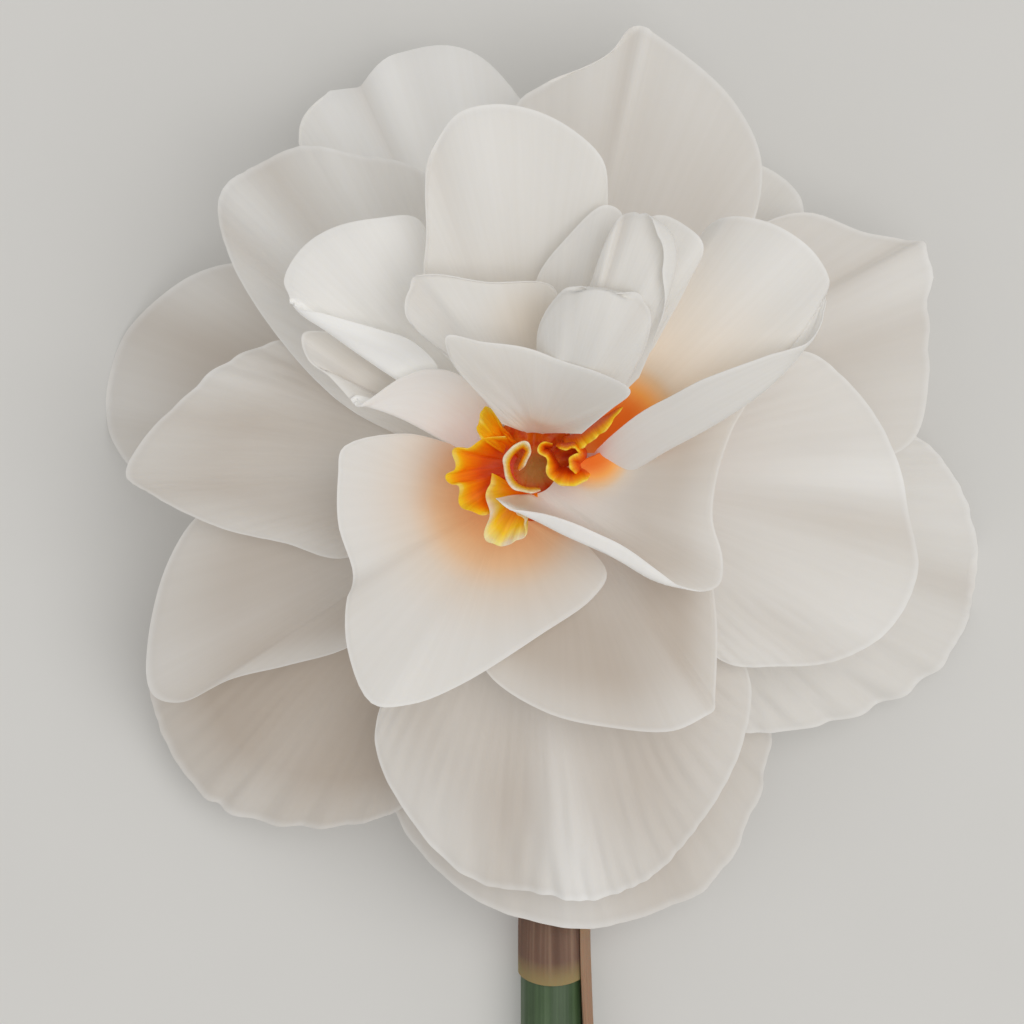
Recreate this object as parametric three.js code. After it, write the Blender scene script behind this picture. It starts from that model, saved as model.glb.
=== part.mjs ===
// A double narcissus as cut: a bloom of layered white petals round a frilled orange crown, with its
// ovary, papery sheath and stalk. It lies on a table, face up, with the stalk along -Y.
// Lengths are in millimetres and +Z is up. The bloom's axis is the Z axis while the pieces are made.

import * as THREE from 'three';

// Driving dimensions.
const BLADE = 0.65;
const SEAT_GAP = 0.3;
const COLUMN_RADIUS = 5.2;
const COLUMN_BOTTOM = 18.2;
const COLUMN_TOP = 31.0;
// Heights on the receptacle where the petals' claws sit. Steeper petals need more room between.
const CLAW_HEIGHTS = [19, 20, 21, 22, 23, 24, 25.1, 26.2, 27.4, 28.7, 30.1];
const STALK_RADIUS = 3.3;
const STALK_LENGTH = 128;

const DEGREE = Math.PI / 180;

// Colours and finishes.
const PETAL_WHITE = { color: 0xe6e3dd, roughness: 0.55, metalness: 0 };
const CROWN_ORANGE = { color: 0xe0720c, roughness: 0.5, metalness: 0 };
const CROWN_YELLOW = { color: 0xf2bf1c, roughness: 0.5, metalness: 0 };
const STALK_GREEN = { color: 0x56724a, roughness: 0.55, metalness: 0 };
const SHEATH_BROWN = { color: 0x9c7a62, roughness: 0.85, metalness: 0 };
const HEART_ORANGE = { color: 0xc86a18, roughness: 0.6, metalness: 0 };

// A petal is a fan of lines from its claw on the receptacle to its margin. The margin runs
// anticlockwise seen from above, as x, y and the lift of the margin off the petal's own arch.
// The arch leaves the claw at a slope and bends with the square of the distance. A hem is a
// stretch of margin that turns up and leans back over the petal. A wall does the same along one
// side of the petal, from its claw to its tip, and that side bows outward by the given amount.
const OUTER_PETALS = [
  {
    name: 'outer_petal_bottom_back', level: 0, azimuth: -90, claw: 1.0, slope: 0.05, bend: -0.0066,
    margin: [[-11, -17.5, -3], [-15, -28, -3.5], [-13.5, -36.5, -2.5], [-6, -44.2, -0.5],
      [3, -47.3, 0], [10, -47.3, 0], [18.4, -43, -2], [22.7, -36, -4.5], [25, -27.5, -7],
      [23, -19, -7], [15, -11.5, -3.5]],
  },
  {
    name: 'outer_petal_right_back', level: 1, azimuth: -6, claw: 1.0, slope: 0.08, bend: -0.0112,
    margin: [[11, -15.5, 0.5], [17.5, -25.5, 0.6], [22, -27, 0.5], [29, -26.5, 0], [36, -24.5, -0.5],
      [42, -21, 0], [45.5, -16, -1], [47, -10, -3.15], [44.5, -1.5, -1], [40, 3.5, 0],
      [31, 5.5, 0], [17.5, 4, 0]],
  },
  {
    name: 'outer_petal_upper_right_back', level: 0, azimuth: 28, claw: 1.0, slope: 0.05, bend: -0.0105,
    margin: [[12.5, 4, 0], [24, 16.5, 0], [28, 24, 0], [28, 27.5, 0], [26, 30.5, 0], [21.5, 32, 0],
      [13.5, 25, 0], [6, 13.5, 0]],
  },
  {
    name: 'outer_petal_top_left_back', level: 1, azimuth: 110, claw: 1.0, slope: 0.08, bend: -0.0095,
    margin: [[1.5, 14.5, 0], [3, 30, 0], [-1, 38, 0], [-5.5, 43, 0], [-9.5, 44, 0], [-14, 43, 0.5],
      [-18, 40, 1.2], [-21, 39, -0.6], [-23.5, 36.5, 1.5], [-24, 34, 1.5], [-19.5, 25, 0],
      [-8.5, 10.5, 0]],
  },
  {
    name: 'outer_petal_left_back', level: 0, azimuth: 185, claw: 1.0, slope: 0.05, bend: -0.0114,
    margin: [[-14, 10.8, 0], [-25, 20, 0], [-31, 21.5, 0], [-37.5, 19, 0], [-42.5, 15, -1],
      [-44.5, 7.5, -2.95], [-44, 3.5, -1.5], [-40, -1, 0], [-30.5, -3.5, 0], [-17, -2.9, 0]],
  },
  {
    name: 'outer_petal_lower_left_back', level: 1, azimuth: 210, claw: 1.0, slope: 0.08, bend: -0.0105,
    margin: [[-18.5, -6.8, 0], [-32.5, -13.5, 0], [-39.5, -19.5, 0], [-39, -26, 0], [-35.5, -32.5, 0.5],
      [-31, -35.5, 0], [-24, -37, 0.5], [-17.5, -36.5, 1], [-12.5, -34, 2], [-8, -24, 2],
      [-5.2, -13.5, 1]],
  },
  {
    name: 'outer_petal_bottom_front', level: 3, azimuth: -100, claw: 1.0, slope: 0.27, bend: -0.0113,
    margin: [[-13.5, -18.5, 0], [-16, -28, 0], [-11.5, -37, 0], [-5, -42.5, 0], [0, -43.5, 0],
      [1, -43, 0], [2.5, -43.5, 0], [7, -43.5, 0], [12.5, -41.5, 0], [17.5, -36, 0], [21.5, -28, 0],
      [22, -20.5, 0], [16, -13.5, 0]],
  },
  {
    name: 'outer_petal_right_front', level: 4, azimuth: -4, claw: 1.0, slope: 0.35, bend: -0.012,
    margin: [[12, -12, 0], [19.5, -19.5, 0], [25, -20, 0], [31, -19.5, 0], [36.5, -16, 0],
      [39.5, -10, 0], [38, -3, 0], [35.5, 4.5, 0], [31.5, 9.5, 0], [27.5, 12, 0], [20, 9.5, 0],
      [11, 5, 0]],
  },
  {
    name: 'outer_petal_upper_right_front', level: 2, azimuth: 45, claw: 1.0, slope: 0.2, bend: -0.0113,
    margin: [[15, 1, 0], [27.5, 0.6, 0], [35.5, 1, 0], [39.5, 3.5, 0], [41, 10.5, 0], [41, 17.5, 0],
      [40.5, 23.5, 1], [38.5, 24, 0.5], [34.5, 24.5, 0], [28, 26.5, 0], [21.5, 24, 0], [8, 11, 0]],
  },
  {
    name: 'outer_petal_top_front', level: 3, azimuth: 55, claw: 1.0, slope: 0.27, bend: -0.0113,
    margin: [[11, 10, 0], [21, 21.5, 0], [23.5, 31, 0], [21, 37.5, 0], [16, 42.5, 0], [12.5, 45, 0.5],
      [11, 45.5, 1], [8, 43, 0.5], [2.5, 40, 0], [-1.5, 37.5, 0], [-2.5, 27.5, 0], [0, 14.5, 0]],
  },
  {
    name: 'outer_petal_upper_left_front', level: 4, azimuth: 157, claw: 1.0, slope: 0.35, bend: -0.012,
    margin: [[-4.5, 14.5, 0], [-8.5, 27.5, 0], [-12.5, 31, 0], [-18, 32, 0], [-24, 33, 0],
      [-29.5, 30.5, 0], [-32, 27, 0], [-30.5, 21, 0], [-25, 12.5, 0], [-19, 6.5, 0], [-11.5, 2.5, 0]],
  },
  {
    name: 'outer_petal_left_front', level: 3, azimuth: 174, claw: 1.0, slope: 0.27, bend: -0.0113,
    margin: [[-9.5, 7, 0], [-19.5, 12.5, -1], [-26, 13, 0], [-31, 11, 0.5], [-35.5, 7.5, 1],
      [-39.5, 3.5, 1], [-41.5, -0.5, 0.5], [-39, -2.5, 0], [-31.5, -6, 0], [-25, -7.5, 0],
      [-19.5, -9, 0], [-10.5, -5.5, 0]],
  },
  {
    name: 'outer_petal_lower_left_front', level: 2, azimuth: 213, claw: 1.0, slope: 0.2, bend: -0.0113,
    margin: [[-13.5, -1.5, 0], [-26, -2, 0], [-33.5, -4, 0], [-37.5, -9.5, 0], [-39.5, -18, 0],
      [-39, -23, 0], [-36.5, -24, 0], [-31, -21.5, 0], [-25, -20, 0], [-18.5, -18, 0],
      [-8.5, -10.5, 0]],
  },
];

const INNER_PETALS = [
  {
    name: 'inner_petal_lower_right', level: 5, azimuth: -44, claw: 1.6, slope: 0.5, bend: -0.0112,
    margin: [[-3, -9, -0.6], [-5.5, -17, -0.5], [-4.5, -20.5, 0], [1.5, -24.5, 0], [8, -26, 0],
      [14, -26.5, 0], [18, -24, 0.5], [18.5, -21, 0], [18.5, -14.5, 0], [17, -8, 0], [9, -2, 0]],
  },
  {
    name: 'inner_petal_lower_left', level: 6, azimuth: 228, claw: 1.0, slope: 0.62, bend: -0.0115,
    margin: [[-8.5, 0.4, 0], [-13, 3.2, 0], [-19, 2, 0], [-19.5, -0.5, 0], [-19.5, -5.5, 0],
      [-18, -10.5, -1], [-18.5, -12.5, 0], [-18.5, -18, 0], [-16, -23.5, 0.5], [-12, -23.5, 0.5],
      [-7, -21.5, 0], [1, -16.5, 0], [6, -13, 0], [7.5, -10.5, 0], [5, -7, 0]],
  },
  {
    name: 'inner_petal_right', level: 7, azimuth: -33, claw: 1.0, slope: 0.7, bend: -0.012,
    margin: [[0.9, -6.7, 5], [3, -6.8, 4], [7.5, -8, 2], [13, -10.5, 0.5], [16, -12, 0],
      [18.5, -11.5, 0], [19, -9, 0], [18, -5, 0], [18.5, -0.5, 0], [20, 4, 0], [22, 8, 0],
      [17, 6.2, -0.6], [9.5, 1.4, -1.2]],
    hem: { start: 0, end: 0.38, ramp: 0.14, width: 1.5, lean: 75, round: 0.9 },
  },
  {
    name: 'inner_petal_upper_right', level: 8, azimuth: 16, claw: 1.2, slope: 1.15, bend: -0.0215,
    margin: [[28.6, 16.4, 0], [29.5, 18, 0], [28, 21, 0], [24, 24, 0], [19.5, 25, -0.5],
      [17.2, 24, -2.8], [12.6, 17, -3.8], [7, 8.5, -1]],
    wall: { side: 'first', widths: [0.8, 4.5, 6, 6.5, 6.5, 6, 4.5, 2, 0.6], lean: 140, round: 1.1, bow: 4 },
  },
  {
    name: 'inner_petal_top', level: 7, azimuth: 94, claw: 1.0, slope: 1.0, bend: -0.0162,
    margin: [[4, 9, -0.5], [6.5, 18, -1.2], [7.5, 27, -1], [7, 30.5, -0.3], [4, 33.5, 0], [0, 35.5, 0],
      [-4, 36, 0], [-7.5, 35, 0], [-9.5, 32, 0], [-10.5, 27.5, 0], [-10.5, 23, 0], [-10.5, 18, 0],
      [-5, 7, 0]],
  },
  {
    name: 'inner_petal_upper_left', level: 6, azimuth: 135, claw: 1.2, slope: 0.85, bend: -0.0165,
    margin: [[-4.3, 10, 0], [-8.2, 21, 0], [-11.5, 25, 0], [-15.5, 25, 0], [-20, 24, 0], [-23, 22, 0],
      [-25, 18.5, 0], [-24.5, 16.6, 0]],
    wall: { side: 'last', widths: [0.6, 2.5, 5, 6.5, 6.5, 5.5, 4, 2.5, 1], lean: 142, round: 1.1, bow: 0 },
  },
  {
    name: 'inner_petal_left', level: 5, azimuth: 167, claw: 1.2, slope: 0.75, bend: -0.014,
    margin: [[-6.6, 5.5, -1], [-13, 10.5, -2], [-19, 13.5, -0.5], [-23, 13.5, 1.5], [-22.5, 11, 1.5],
      [-20.5, 9, 1], [-18.5, 6.5, 1]],
    wall: { side: 'last', widths: [0.6, 4, 8, 10.5, 11, 10.5, 8.5, 6, 3], lean: 133, round: 1.1, bow: 0 },
  },
];

const CENTRE_PETALS = [
  {
    name: 'centre_petal_back_left', level: 9, azimuth: 66, claw: 0.8, slope: 1.28, bend: -0.035,
    margin: [[6.2, 13, 0], [8.3, 21.5, 0.3], [8.8, 25.3, 0.8], [7, 26, 1], [3.5, 23, 0.6],
      [0.3, 18.5, 0], [0.6, 12.5, 0]],
  },
  {
    name: 'centre_petal_back_right', level: 9, azimuth: 36, claw: 0.8, slope: 1.38, bend: -0.034,
    margin: [[12, 12, 0], [15.7, 19, 0.2], [16.8, 22, 0.5], [15, 24, 0.4], [12.8, 25, 0],
      [11.4, 24.6, 0], [7.4, 15.5, 0]],
  },
  {
    name: 'centre_petal_left', level: 10, azimuth: 90, claw: 0.9, slope: 1.35, bend: -0.038,
    margin: [[2.4, 13, 0], [2, 18, 0], [-4.5, 18.5, 0], [-10, 19, 0], [-11.5, 18.5, 0],
      [-12.5, 17, 0], [-12.5, 15, 0], [-10.5, 13, 0], [-7.5, 10.2, 0], [-4.8, 7.4, 0]],
  },
  {
    name: 'centre_petal_roll_high', level: 10, azimuth: 45, claw: 0.9, slope: 1.5, bend: -0.036,
    margin: [[10.5, 9, 0], [13.5, 16, 0], [14.5, 20.5, 0], [13.5, 23.5, 0], [11, 25, 0], [9, 25, 0],
      [7.5, 23, 0], [6, 19, 0], [4.5, 14, 0]],
  },
  {
    name: 'centre_petal_roll_low', top: 5.0, azimuth: 56, claw: 0.9, slope: 1.7, bend: -0.046,
    margin: [[8.5, 7, 0], [11, 12, 0], [11.5, 15, 0], [10, 17, 0], [7.5, 18.5, 0], [4.5, 18.5, 0],
      [2, 16.5, 0], [0.5, 13.5, 0], [0.7, 9.5, 0]],
  },
  {
    name: 'centre_petal_hood', top: 3.8, azimuth: 86, claw: 0.9, slope: 1.9, bend: -0.03,
    margin: [[5, 3.5, 0], [7.8, 5.9, 0], [9.5, 7.5, 0], [6.5, 9.5, 0], [2, 11, 0], [-1.5, 12, 0],
      [-5, 12.5, 0], [-8.5, 13, 0], [-8, 10.5, 0], [-4.5, 6.5, 0], [-3, 4.5, 0]],
  },
];

// The split crown: lobes spread from the top of the receptacle, and frills that stand on it.
const CROWN_LOBES = [
  {
    name: 'crown_lobe_left', top: 3.7, azimuth: 180, claw: 1.0, slope: 0.1, bend: 0.0,
    margin: [[-4.3, 1.6, 1], [-6.9, 1.2, 2.2], [-8.3, -0.2, 2], [-7.6, -1.5, 2.4], [-7.1, -3.1, 2],
      [-6, -4.2, 2.2], [-5, -3.9, 1.5], [-4.0, -2.8, 0.6]],
    finish: CROWN_ORANGE,
  },
  {
    name: 'crown_lobe_upper_left', top: 3.75, azimuth: 146, claw: 0.7, slope: 2.0, bend: 0,
    margin: [[-3, 3.4, 0], [-3.6, 4.4, 0], [-4.5, 5.6, 0], [-5, 4.8, 0], [-4.6, 3.4, 0],
      [-4.1, 2.4, 0]],
    finish: CROWN_YELLOW,
  },
  {
    name: 'crown_lobe_tongue', top: 3.7, azimuth: 235, claw: 0.7, slope: 0.1, bend: 0,
    margin: [[-3.6, -3.4, 0.5], [-4.3, -4.6, 1.8], [-4.5, -7, 0.8], [-3, -7.4, 0.4], [-1.6, -7, 0.8],
      [-0.9, -5.8, 1.4], [-1, -4.4, 0.6]],
    finish: CROWN_YELLOW,
  },
];

// Each frill is a wavy upright strip: x, y, how far its foot is above the seat, and its height.
const CROWN_FRILLS = [
  {
    name: 'crown_frill_curl', flare: 0.3, finish: CROWN_YELLOW,
    path: [[-0.3, 2.4, 0, 4.6], [-1.7, 2.1, 0, 5.2], [-2.7, 1.0, 0, 5], [-2.6, -0.6, 0, 4.4],
      [-1.9, -1.8, 0, 4.8], [-0.6, -2.2, 0, 4.2], [0.5, -1.9, 0, 3.6]],
  },
  {
    name: 'crown_frill_right', flare: 0.8, finish: CROWN_ORANGE,
    path: [[1.0, 1.6, 0, 3.4], [1.5, -0.2, 0, 4.2], [2.6, -1.2, 0, 3.6], [3.8, -1.6, 0, 4.4],
      [5.0, -1.2, 0.2, 3.6], [5.5, -0.3, 0.4, 3.2]],
  },
  {
    name: 'crown_frill_middle', flare: 0.4, finish: CROWN_ORANGE,
    path: [[2.4, 1.9, 0, 4], [3.4, 1.5, 0, 4.6], [3.9, 0.5, 0, 3.8], [4.4, -0.1, 0, 4.2]],
  },
  {
    name: 'crown_frill_upper_right', flare: 0.3, finish: CROWN_YELLOW,
    path: [[4.2, 2.4, 0, 4.4], [5.6, 3.3, 0.8, 4.6], [7.2, 4.4, 3, 3.6], [8.6, 5.8, 5, 3]],
  },
];

// How finely a petal is divided: columns for each stretch of its margin, and rows along it.
const COLUMNS_PER_SPAN = 1.5;
const OUTER_ROWS = 5;
const INNER_ROWS = 6;
const CENTRE_ROWS = 5;
const CROWN_ROWS = 4;
const WALL_COLUMNS = 6;
const WALL_ARC_COLUMNS = 4;
const FRILL_COLUMNS_PER_SPAN = 3;

function clamp01(value) {
  return Math.min(1, Math.max(0, value));
}

function smooth(value) {
  const x = clamp01(value);
  return x * x * (3 - 2 * x);
}

// Turns a grid of points over (along, across) into one closed blade of even thickness.
function closedBlade(pointAt, rows, columns, thickness) {
  const step = 1e-3;
  const between = (from, to) => to.clone().sub(from);
  const front = [];
  const back = [];
  for (let row = 0; row <= rows; row += 1) {
    for (let column = 0; column <= columns; column += 1) {
      const along = row / rows;
      const across = column / columns;
      const point = pointAt(along, across);
      const outward = between(pointAt(Math.max(along - step, 0), across),
        pointAt(Math.min(along + step, 1), across));
      const sideways = between(pointAt(along, Math.max(across - step, 0)),
        pointAt(along, Math.min(across + step, 1)));
      const normal = outward.cross(sideways).normalize().multiplyScalar(thickness / 2);
      front.push(point.clone().add(normal));
      back.push(point.clone().sub(normal));
    }
  }
  const stride = columns + 1;
  const offset = front.length;
  const at = (row, column) => row * stride + column;
  const faces = [];
  const quad = (a, b, c, d) => faces.push(a, b, c, a, c, d);
  for (let row = 0; row < rows; row += 1) {
    for (let column = 0; column < columns; column += 1) {
      const corners = [at(row, column), at(row + 1, column), at(row + 1, column + 1),
        at(row, column + 1)];
      quad(...corners);
      const [a, b, c, d] = corners.map((index) => index + offset);
      faces.push(a, c, b, a, d, c);
    }
  }
  const rim = (a, b) => quad(a, b, b + offset, a + offset);
  for (let row = 0; row < rows; row += 1) {
    rim(at(row + 1, 0), at(row, 0));
    rim(at(row, columns), at(row + 1, columns));
  }
  for (let column = 0; column < columns; column += 1) {
    rim(at(rows, column + 1), at(rows, column));
    rim(at(0, column), at(0, column + 1));
  }
  const positions = [...front, ...back].flatMap((point) => [point.x, point.y, point.z]);
  const geometry = new THREE.BufferGeometry();
  geometry.setAttribute('position', new THREE.Float32BufferAttribute(positions, 3));
  geometry.setIndex(faces);
  geometry.computeVertexNormals();
  return geometry;
}

// Length of the hem at this place on the margin, from nothing at its tapered ends.
function hemLength(hem, across) {
  if (!hem) return 0;
  const opens = hem.start === 0 ? 1 : smooth((across - hem.start) / hem.ramp);
  const closes = smooth((hem.end - across) / hem.ramp);
  return hem.width * opens * closes;
}

// How far a sheet that turns up on an arc has gone sideways and up, a given length past its fold.
function turnedUp(past, fold, first) {
  const last = fold.lean * DEGREE;
  const turned = Math.min(past / fold.round, last - first);
  const straight = Math.max(0, past - fold.round * (last - first));
  return {
    sideways: fold.round * (Math.sin(first + turned) - Math.sin(first)) + straight * Math.cos(last),
    up: fold.round * (Math.cos(first) - Math.cos(first + turned)) + straight * Math.sin(last),
  };
}

function petalColumns(petal) {
  return Math.round((petal.margin.length - 1) * COLUMNS_PER_SPAN) + (petal.wall ? WALL_COLUMNS : 0);
}

function petalSurface(petal) {
  const points = petal.margin.map(([x, y, lift]) => new THREE.Vector3(x, y, lift));
  const curve = new THREE.CatmullRomCurve3(points, false, 'centripetal');
  const rise = Math.atan(petal.slope);
  const clawRadius = petal.top ?? COLUMN_RADIUS + SEAT_GAP + (BLADE / 2) * Math.sin(rise);
  const clawHeight = petal.top
    ? COLUMN_TOP + SEAT_GAP + (BLADE / 2) * Math.cos(rise)
    : CLAW_HEIGHTS[petal.level];
  const clawAngle = petal.claw / clawRadius;
  const { wall, hem } = petal;
  const wallShare = wall ? WALL_COLUMNS / petalColumns(petal) : 0;
  const wallFirst = wall && wall.side === 'first';
  const wallWidths = wall && new THREE.CatmullRomCurve3(
    wall.widths.map((width, index) => new THREE.Vector3(index, width, 0)), false, 'centripetal');

  function sheetPoint(along, across) {
    const edge = curve.getPoint(across);
    const tangent = curve.getTangent(across);
    const outward = new THREE.Vector2(tangent.y, -tangent.x).normalize();
    const angle = petal.azimuth * DEGREE + clawAngle * (2 * across - 1);
    const claw = new THREE.Vector2(Math.cos(angle), Math.sin(angle)).multiplyScalar(clawRadius);
    const folded = hemLength(hem, across);
    const fold = new THREE.Vector2(edge.x, edge.y);
    if (folded > 0) fold.addScaledVector(outward, -hem.round * clamp01(folded));
    const line = fold.clone().sub(claw);
    const sheet = line.length();
    const run = along * (sheet + folded);
    const reach = Math.min(run, sheet);
    const place = claw.clone().addScaledVector(line, reach / sheet);
    let height = clawHeight + petal.slope * reach + petal.bend * reach ** 2
      + edge.z * (reach / sheet) ** 3;
    if (run > sheet) {
      const steepness = (petal.slope + 2 * petal.bend * sheet) * line.clone().normalize().dot(outward);
      const { sideways, up } = turnedUp(run - sheet, hem, Math.atan(steepness));
      place.addScaledVector(outward, sideways);
      height += up;
    }
    if (wall) {
      const side = wallFirst ? -1 : 1;
      const nearness = smooth(wallFirst ? 1 - 2.5 * across : 1 - 2.5 * (1 - across));
      const crosswise = new THREE.Vector2(-line.y, line.x).normalize().multiplyScalar(side);
      const width = wallWidths.getPoint(along).y;
      const inset = wall.round * clamp01(width) * smooth(3 * along);
      const shift = wall.bow * (4 * along * (1 - along)) ** 0.6 - inset;
      place.addScaledVector(crosswise, shift * nearness);
    }
    return new THREE.Vector3(place.x, place.y, height);
  }

  return (along, across) => {
    if (!wall) return sheetPoint(along, across);
    const fromWall = wallFirst ? across : 1 - across;
    const sheetShare = clamp01((fromWall - wallShare) / (1 - wallShare));
    const place = sheetPoint(along, wallFirst ? sheetShare : 1 - sheetShare);
    const into = clamp01(1 - fromWall / wallShare);
    if (into === 0) return place;
    const step = 0.01;
    const side = wallFirst ? 0 : 1;
    const before = sheetPoint(Math.max(0, along - step), side);
    const after = sheetPoint(Math.min(1, along + step), side);
    const outward = new THREE.Vector3(after.y - before.y, before.x - after.x, 0).normalize();
    if (!wallFirst) outward.negate();
    const width = wallWidths.getPoint(along).y;
    const arcShare = WALL_ARC_COLUMNS / WALL_COLUMNS;
    const arc = Math.min(width * arcShare, wall.round * wall.lean * DEGREE);
    const past = arc * clamp01(into / arcShare)
      + (width - arc) * clamp01((into - arcShare) / (1 - arcShare));
    const { sideways, up } = turnedUp(past, wall, 0);
    return place.addScaledVector(outward, sideways).add(new THREE.Vector3(0, 0, up));
  };
}

// A strip that stands on its foot and flares outward, to the right of its path, as it rises.
function frillSurface(frill) {
  const place = new THREE.CatmullRomCurve3(
    frill.path.map(([x, y]) => new THREE.Vector3(x, y, 0)), false, 'centripetal');
  const seat = COLUMN_TOP + SEAT_GAP;
  const heights = new THREE.CatmullRomCurve3(
    frill.path.map(([, , foot, height], index) => new THREE.Vector3(index, seat + foot, height)),
    false, 'centripetal');
  return (along, across) => {
    const point = place.getPoint(across);
    const tangent = place.getTangent(across);
    const { y: foot, z: height } = heights.getPoint(across);
    const flare = frill.flare * along ** 2;
    return new THREE.Vector3(point.x + tangent.y * flare, point.y - tangent.x * flare,
      foot + height * along);
  };
}

// The stalk's middle line: down from the receptacle, over in a bend, then along the table.
const NECK_START = COLUMN_BOTTOM - SEAT_GAP;
const stalkLine = new THREE.CatmullRomCurve3([
  [0, 0, NECK_START], [0, -0.05, 14.4], [0.4, -2.8, 9.4], [1.0, -8, 5.7], [1.7, -17, 4.1],
  [2.1, -30, STALK_RADIUS + 0.3], [2.2, -51, STALK_RADIUS + 0.1], [2.5, -85, STALK_RADIUS],
  [4.5, -130, STALK_RADIUS], [8, -52 - STALK_LENGTH, STALK_RADIUS],
].map(([x, y, z]) => new THREE.Vector3(x, y, z)), false, 'centripetal');
const stalkLength = stalkLine.getLength();

// Where each organ starts and ends along the stalk's middle line.
const TUBE_SPAN = [0, 4.6];
const OVARY_SPAN = [4.9, 15.0];
const PEDICEL_SPAN = [15.3, 61.5];
const SCAPE_SPAN = [61.8, stalkLength];

function stalkFrame(distance) {
  const fraction = Math.min(1, Math.max(0, distance / stalkLength));
  const point = stalkLine.getPointAt(fraction);
  const forward = stalkLine.getTangentAt(fraction);
  const side = new THREE.Vector3(1, 0, 0).addScaledVector(forward, -forward.x).normalize();
  const up = new THREE.Vector3().crossVectors(side, forward);
  return { point, side, up };
}

// A closed solid swept along the stalk, whose section is an ellipse of the given half sizes.
function sweptOrgan([from, to], steps, sides, halfWidth, halfDepth) {
  const positions = [];
  for (let step = 0; step <= steps; step += 1) {
    const fraction = step / steps;
    const { point, side, up } = stalkFrame(from + (to - from) * fraction);
    for (let corner = 0; corner < sides; corner += 1) {
      const angle = 2 * Math.PI * corner / sides;
      const place = point.clone()
        .addScaledVector(side, halfWidth(fraction) * Math.cos(angle))
        .addScaledVector(up, halfDepth(fraction) * Math.sin(angle));
      positions.push(place.x, place.y, place.z);
    }
  }
  const faces = [];
  for (let step = 0; step < steps; step += 1) {
    for (let corner = 0; corner < sides; corner += 1) {
      const next = (corner + 1) % sides;
      const a = step * sides + corner;
      const b = step * sides + next;
      faces.push(a, b + sides, b, a, a + sides, b + sides);
    }
  }
  const last = steps * sides;
  for (let corner = 1; corner < sides - 1; corner += 1) {
    faces.push(0, corner, corner + 1);
    faces.push(last, last + corner + 1, last + corner);
  }
  const geometry = new THREE.BufferGeometry();
  geometry.setAttribute('position', new THREE.Float32BufferAttribute(positions, 3));
  geometry.setIndex(faces);
  geometry.computeVertexNormals();
  return geometry;
}

// A thin sheet wrapped round the stalk between two angles, at a radius, over a span of its length.
function wrapSurface(wrap) {
  return (along, across) => {
    const { point, side, up } = stalkFrame(wrap.from + (wrap.to - wrap.from) * along);
    const half = (wrap.spread / 2) * wrap.taper(along);
    const angle = (wrap.middle + half * (1 - 2 * across)) * DEGREE;
    const radius = wrap.radius + wrap.flare * along ** 2;
    return point.clone().addScaledVector(side, radius * Math.cos(angle))
      .addScaledVector(up, radius * Math.sin(angle));
  };
}

const SHEATH = {
  from: 61.2, to: 33, middle: -90, spread: 320, radius: 2.75, flare: 0.5,
  taper: (along) => 1 - 0.75 * along ** 1.5,
};
const TORN_STRIP = {
  from: 55, to: 78, middle: -14, spread: 56, radius: STALK_RADIUS + SEAT_GAP + BLADE / 2 + 0.05, flare: 0.6,
  taper: (along) => 1 - 0.7 * along ** 2,
};

function receptacle() {
  const profile = [[0, COLUMN_BOTTOM], [4.3, COLUMN_BOTTOM], [COLUMN_RADIUS, COLUMN_BOTTOM + 0.6],
    [COLUMN_RADIUS, COLUMN_TOP], [0, COLUMN_TOP]];
  const sides = 28;
  const geometry = new THREE.LatheGeometry(profile.map(([x, y]) => new THREE.Vector2(x, y)), sides);
  return geometry.rotateX(Math.PI / 2);
}

function addMesh(group, name, geometry, finish) {
  const mesh = new THREE.Mesh(geometry, new THREE.MeshStandardMaterial(finish));
  mesh.name = name;
  group.add(mesh);
  return mesh;
}

function addPetals(group, petals, rows, finish) {
  for (const petal of petals) {
    const blade = closedBlade(petalSurface(petal), rows, petalColumns(petal), BLADE);
    addMesh(group, petal.name, blade, finish);
  }
}

const flower = new THREE.Group();
addPetals(flower, OUTER_PETALS, OUTER_ROWS, PETAL_WHITE);
addPetals(flower, INNER_PETALS, INNER_ROWS, PETAL_WHITE);
addPetals(flower, CENTRE_PETALS, CENTRE_ROWS, PETAL_WHITE);
for (const lobe of CROWN_LOBES) addPetals(flower, [lobe], CROWN_ROWS, lobe.finish);
for (const frill of CROWN_FRILLS) {
  const columns = (frill.path.length - 1) * FRILL_COLUMNS_PER_SPAN;
  addMesh(flower, frill.name, closedBlade(frillSurface(frill), CROWN_ROWS, columns, BLADE), frill.finish);
}
addMesh(flower, 'receptacle', receptacle(), HEART_ORANGE);
addMesh(flower, 'perianth_tube', sweptOrgan(TUBE_SPAN, 4, 14,
  (f) => 4.3 - 1.6 * f, (f) => 4.3 - 1.6 * f), STALK_GREEN);
addMesh(flower, 'ovary', sweptOrgan(OVARY_SPAN, 8, 14,
  (f) => 2.5 + 1.0 * Math.sin(Math.PI * f), (f) => 2.5 + 0.9 * Math.sin(Math.PI * f)), STALK_GREEN);
addMesh(flower, 'pedicel', sweptOrgan(PEDICEL_SPAN, 18, 10, (f) => 2.1, (f) => 1.9), STALK_GREEN);
addMesh(flower, 'scape', sweptOrgan(SCAPE_SPAN, 20, 14,
  (f) => STALK_RADIUS * (1 + 0.08 * f), (f) => STALK_RADIUS), STALK_GREEN);
addMesh(flower, 'spathe_sheath', closedBlade(wrapSurface(SHEATH), 8, 18, BLADE), SHEATH_BROWN);
addMesh(flower, 'spathe_torn_strip', closedBlade(wrapSurface(TORN_STRIP), 8, 3, BLADE), SHEATH_BROWN);

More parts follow.
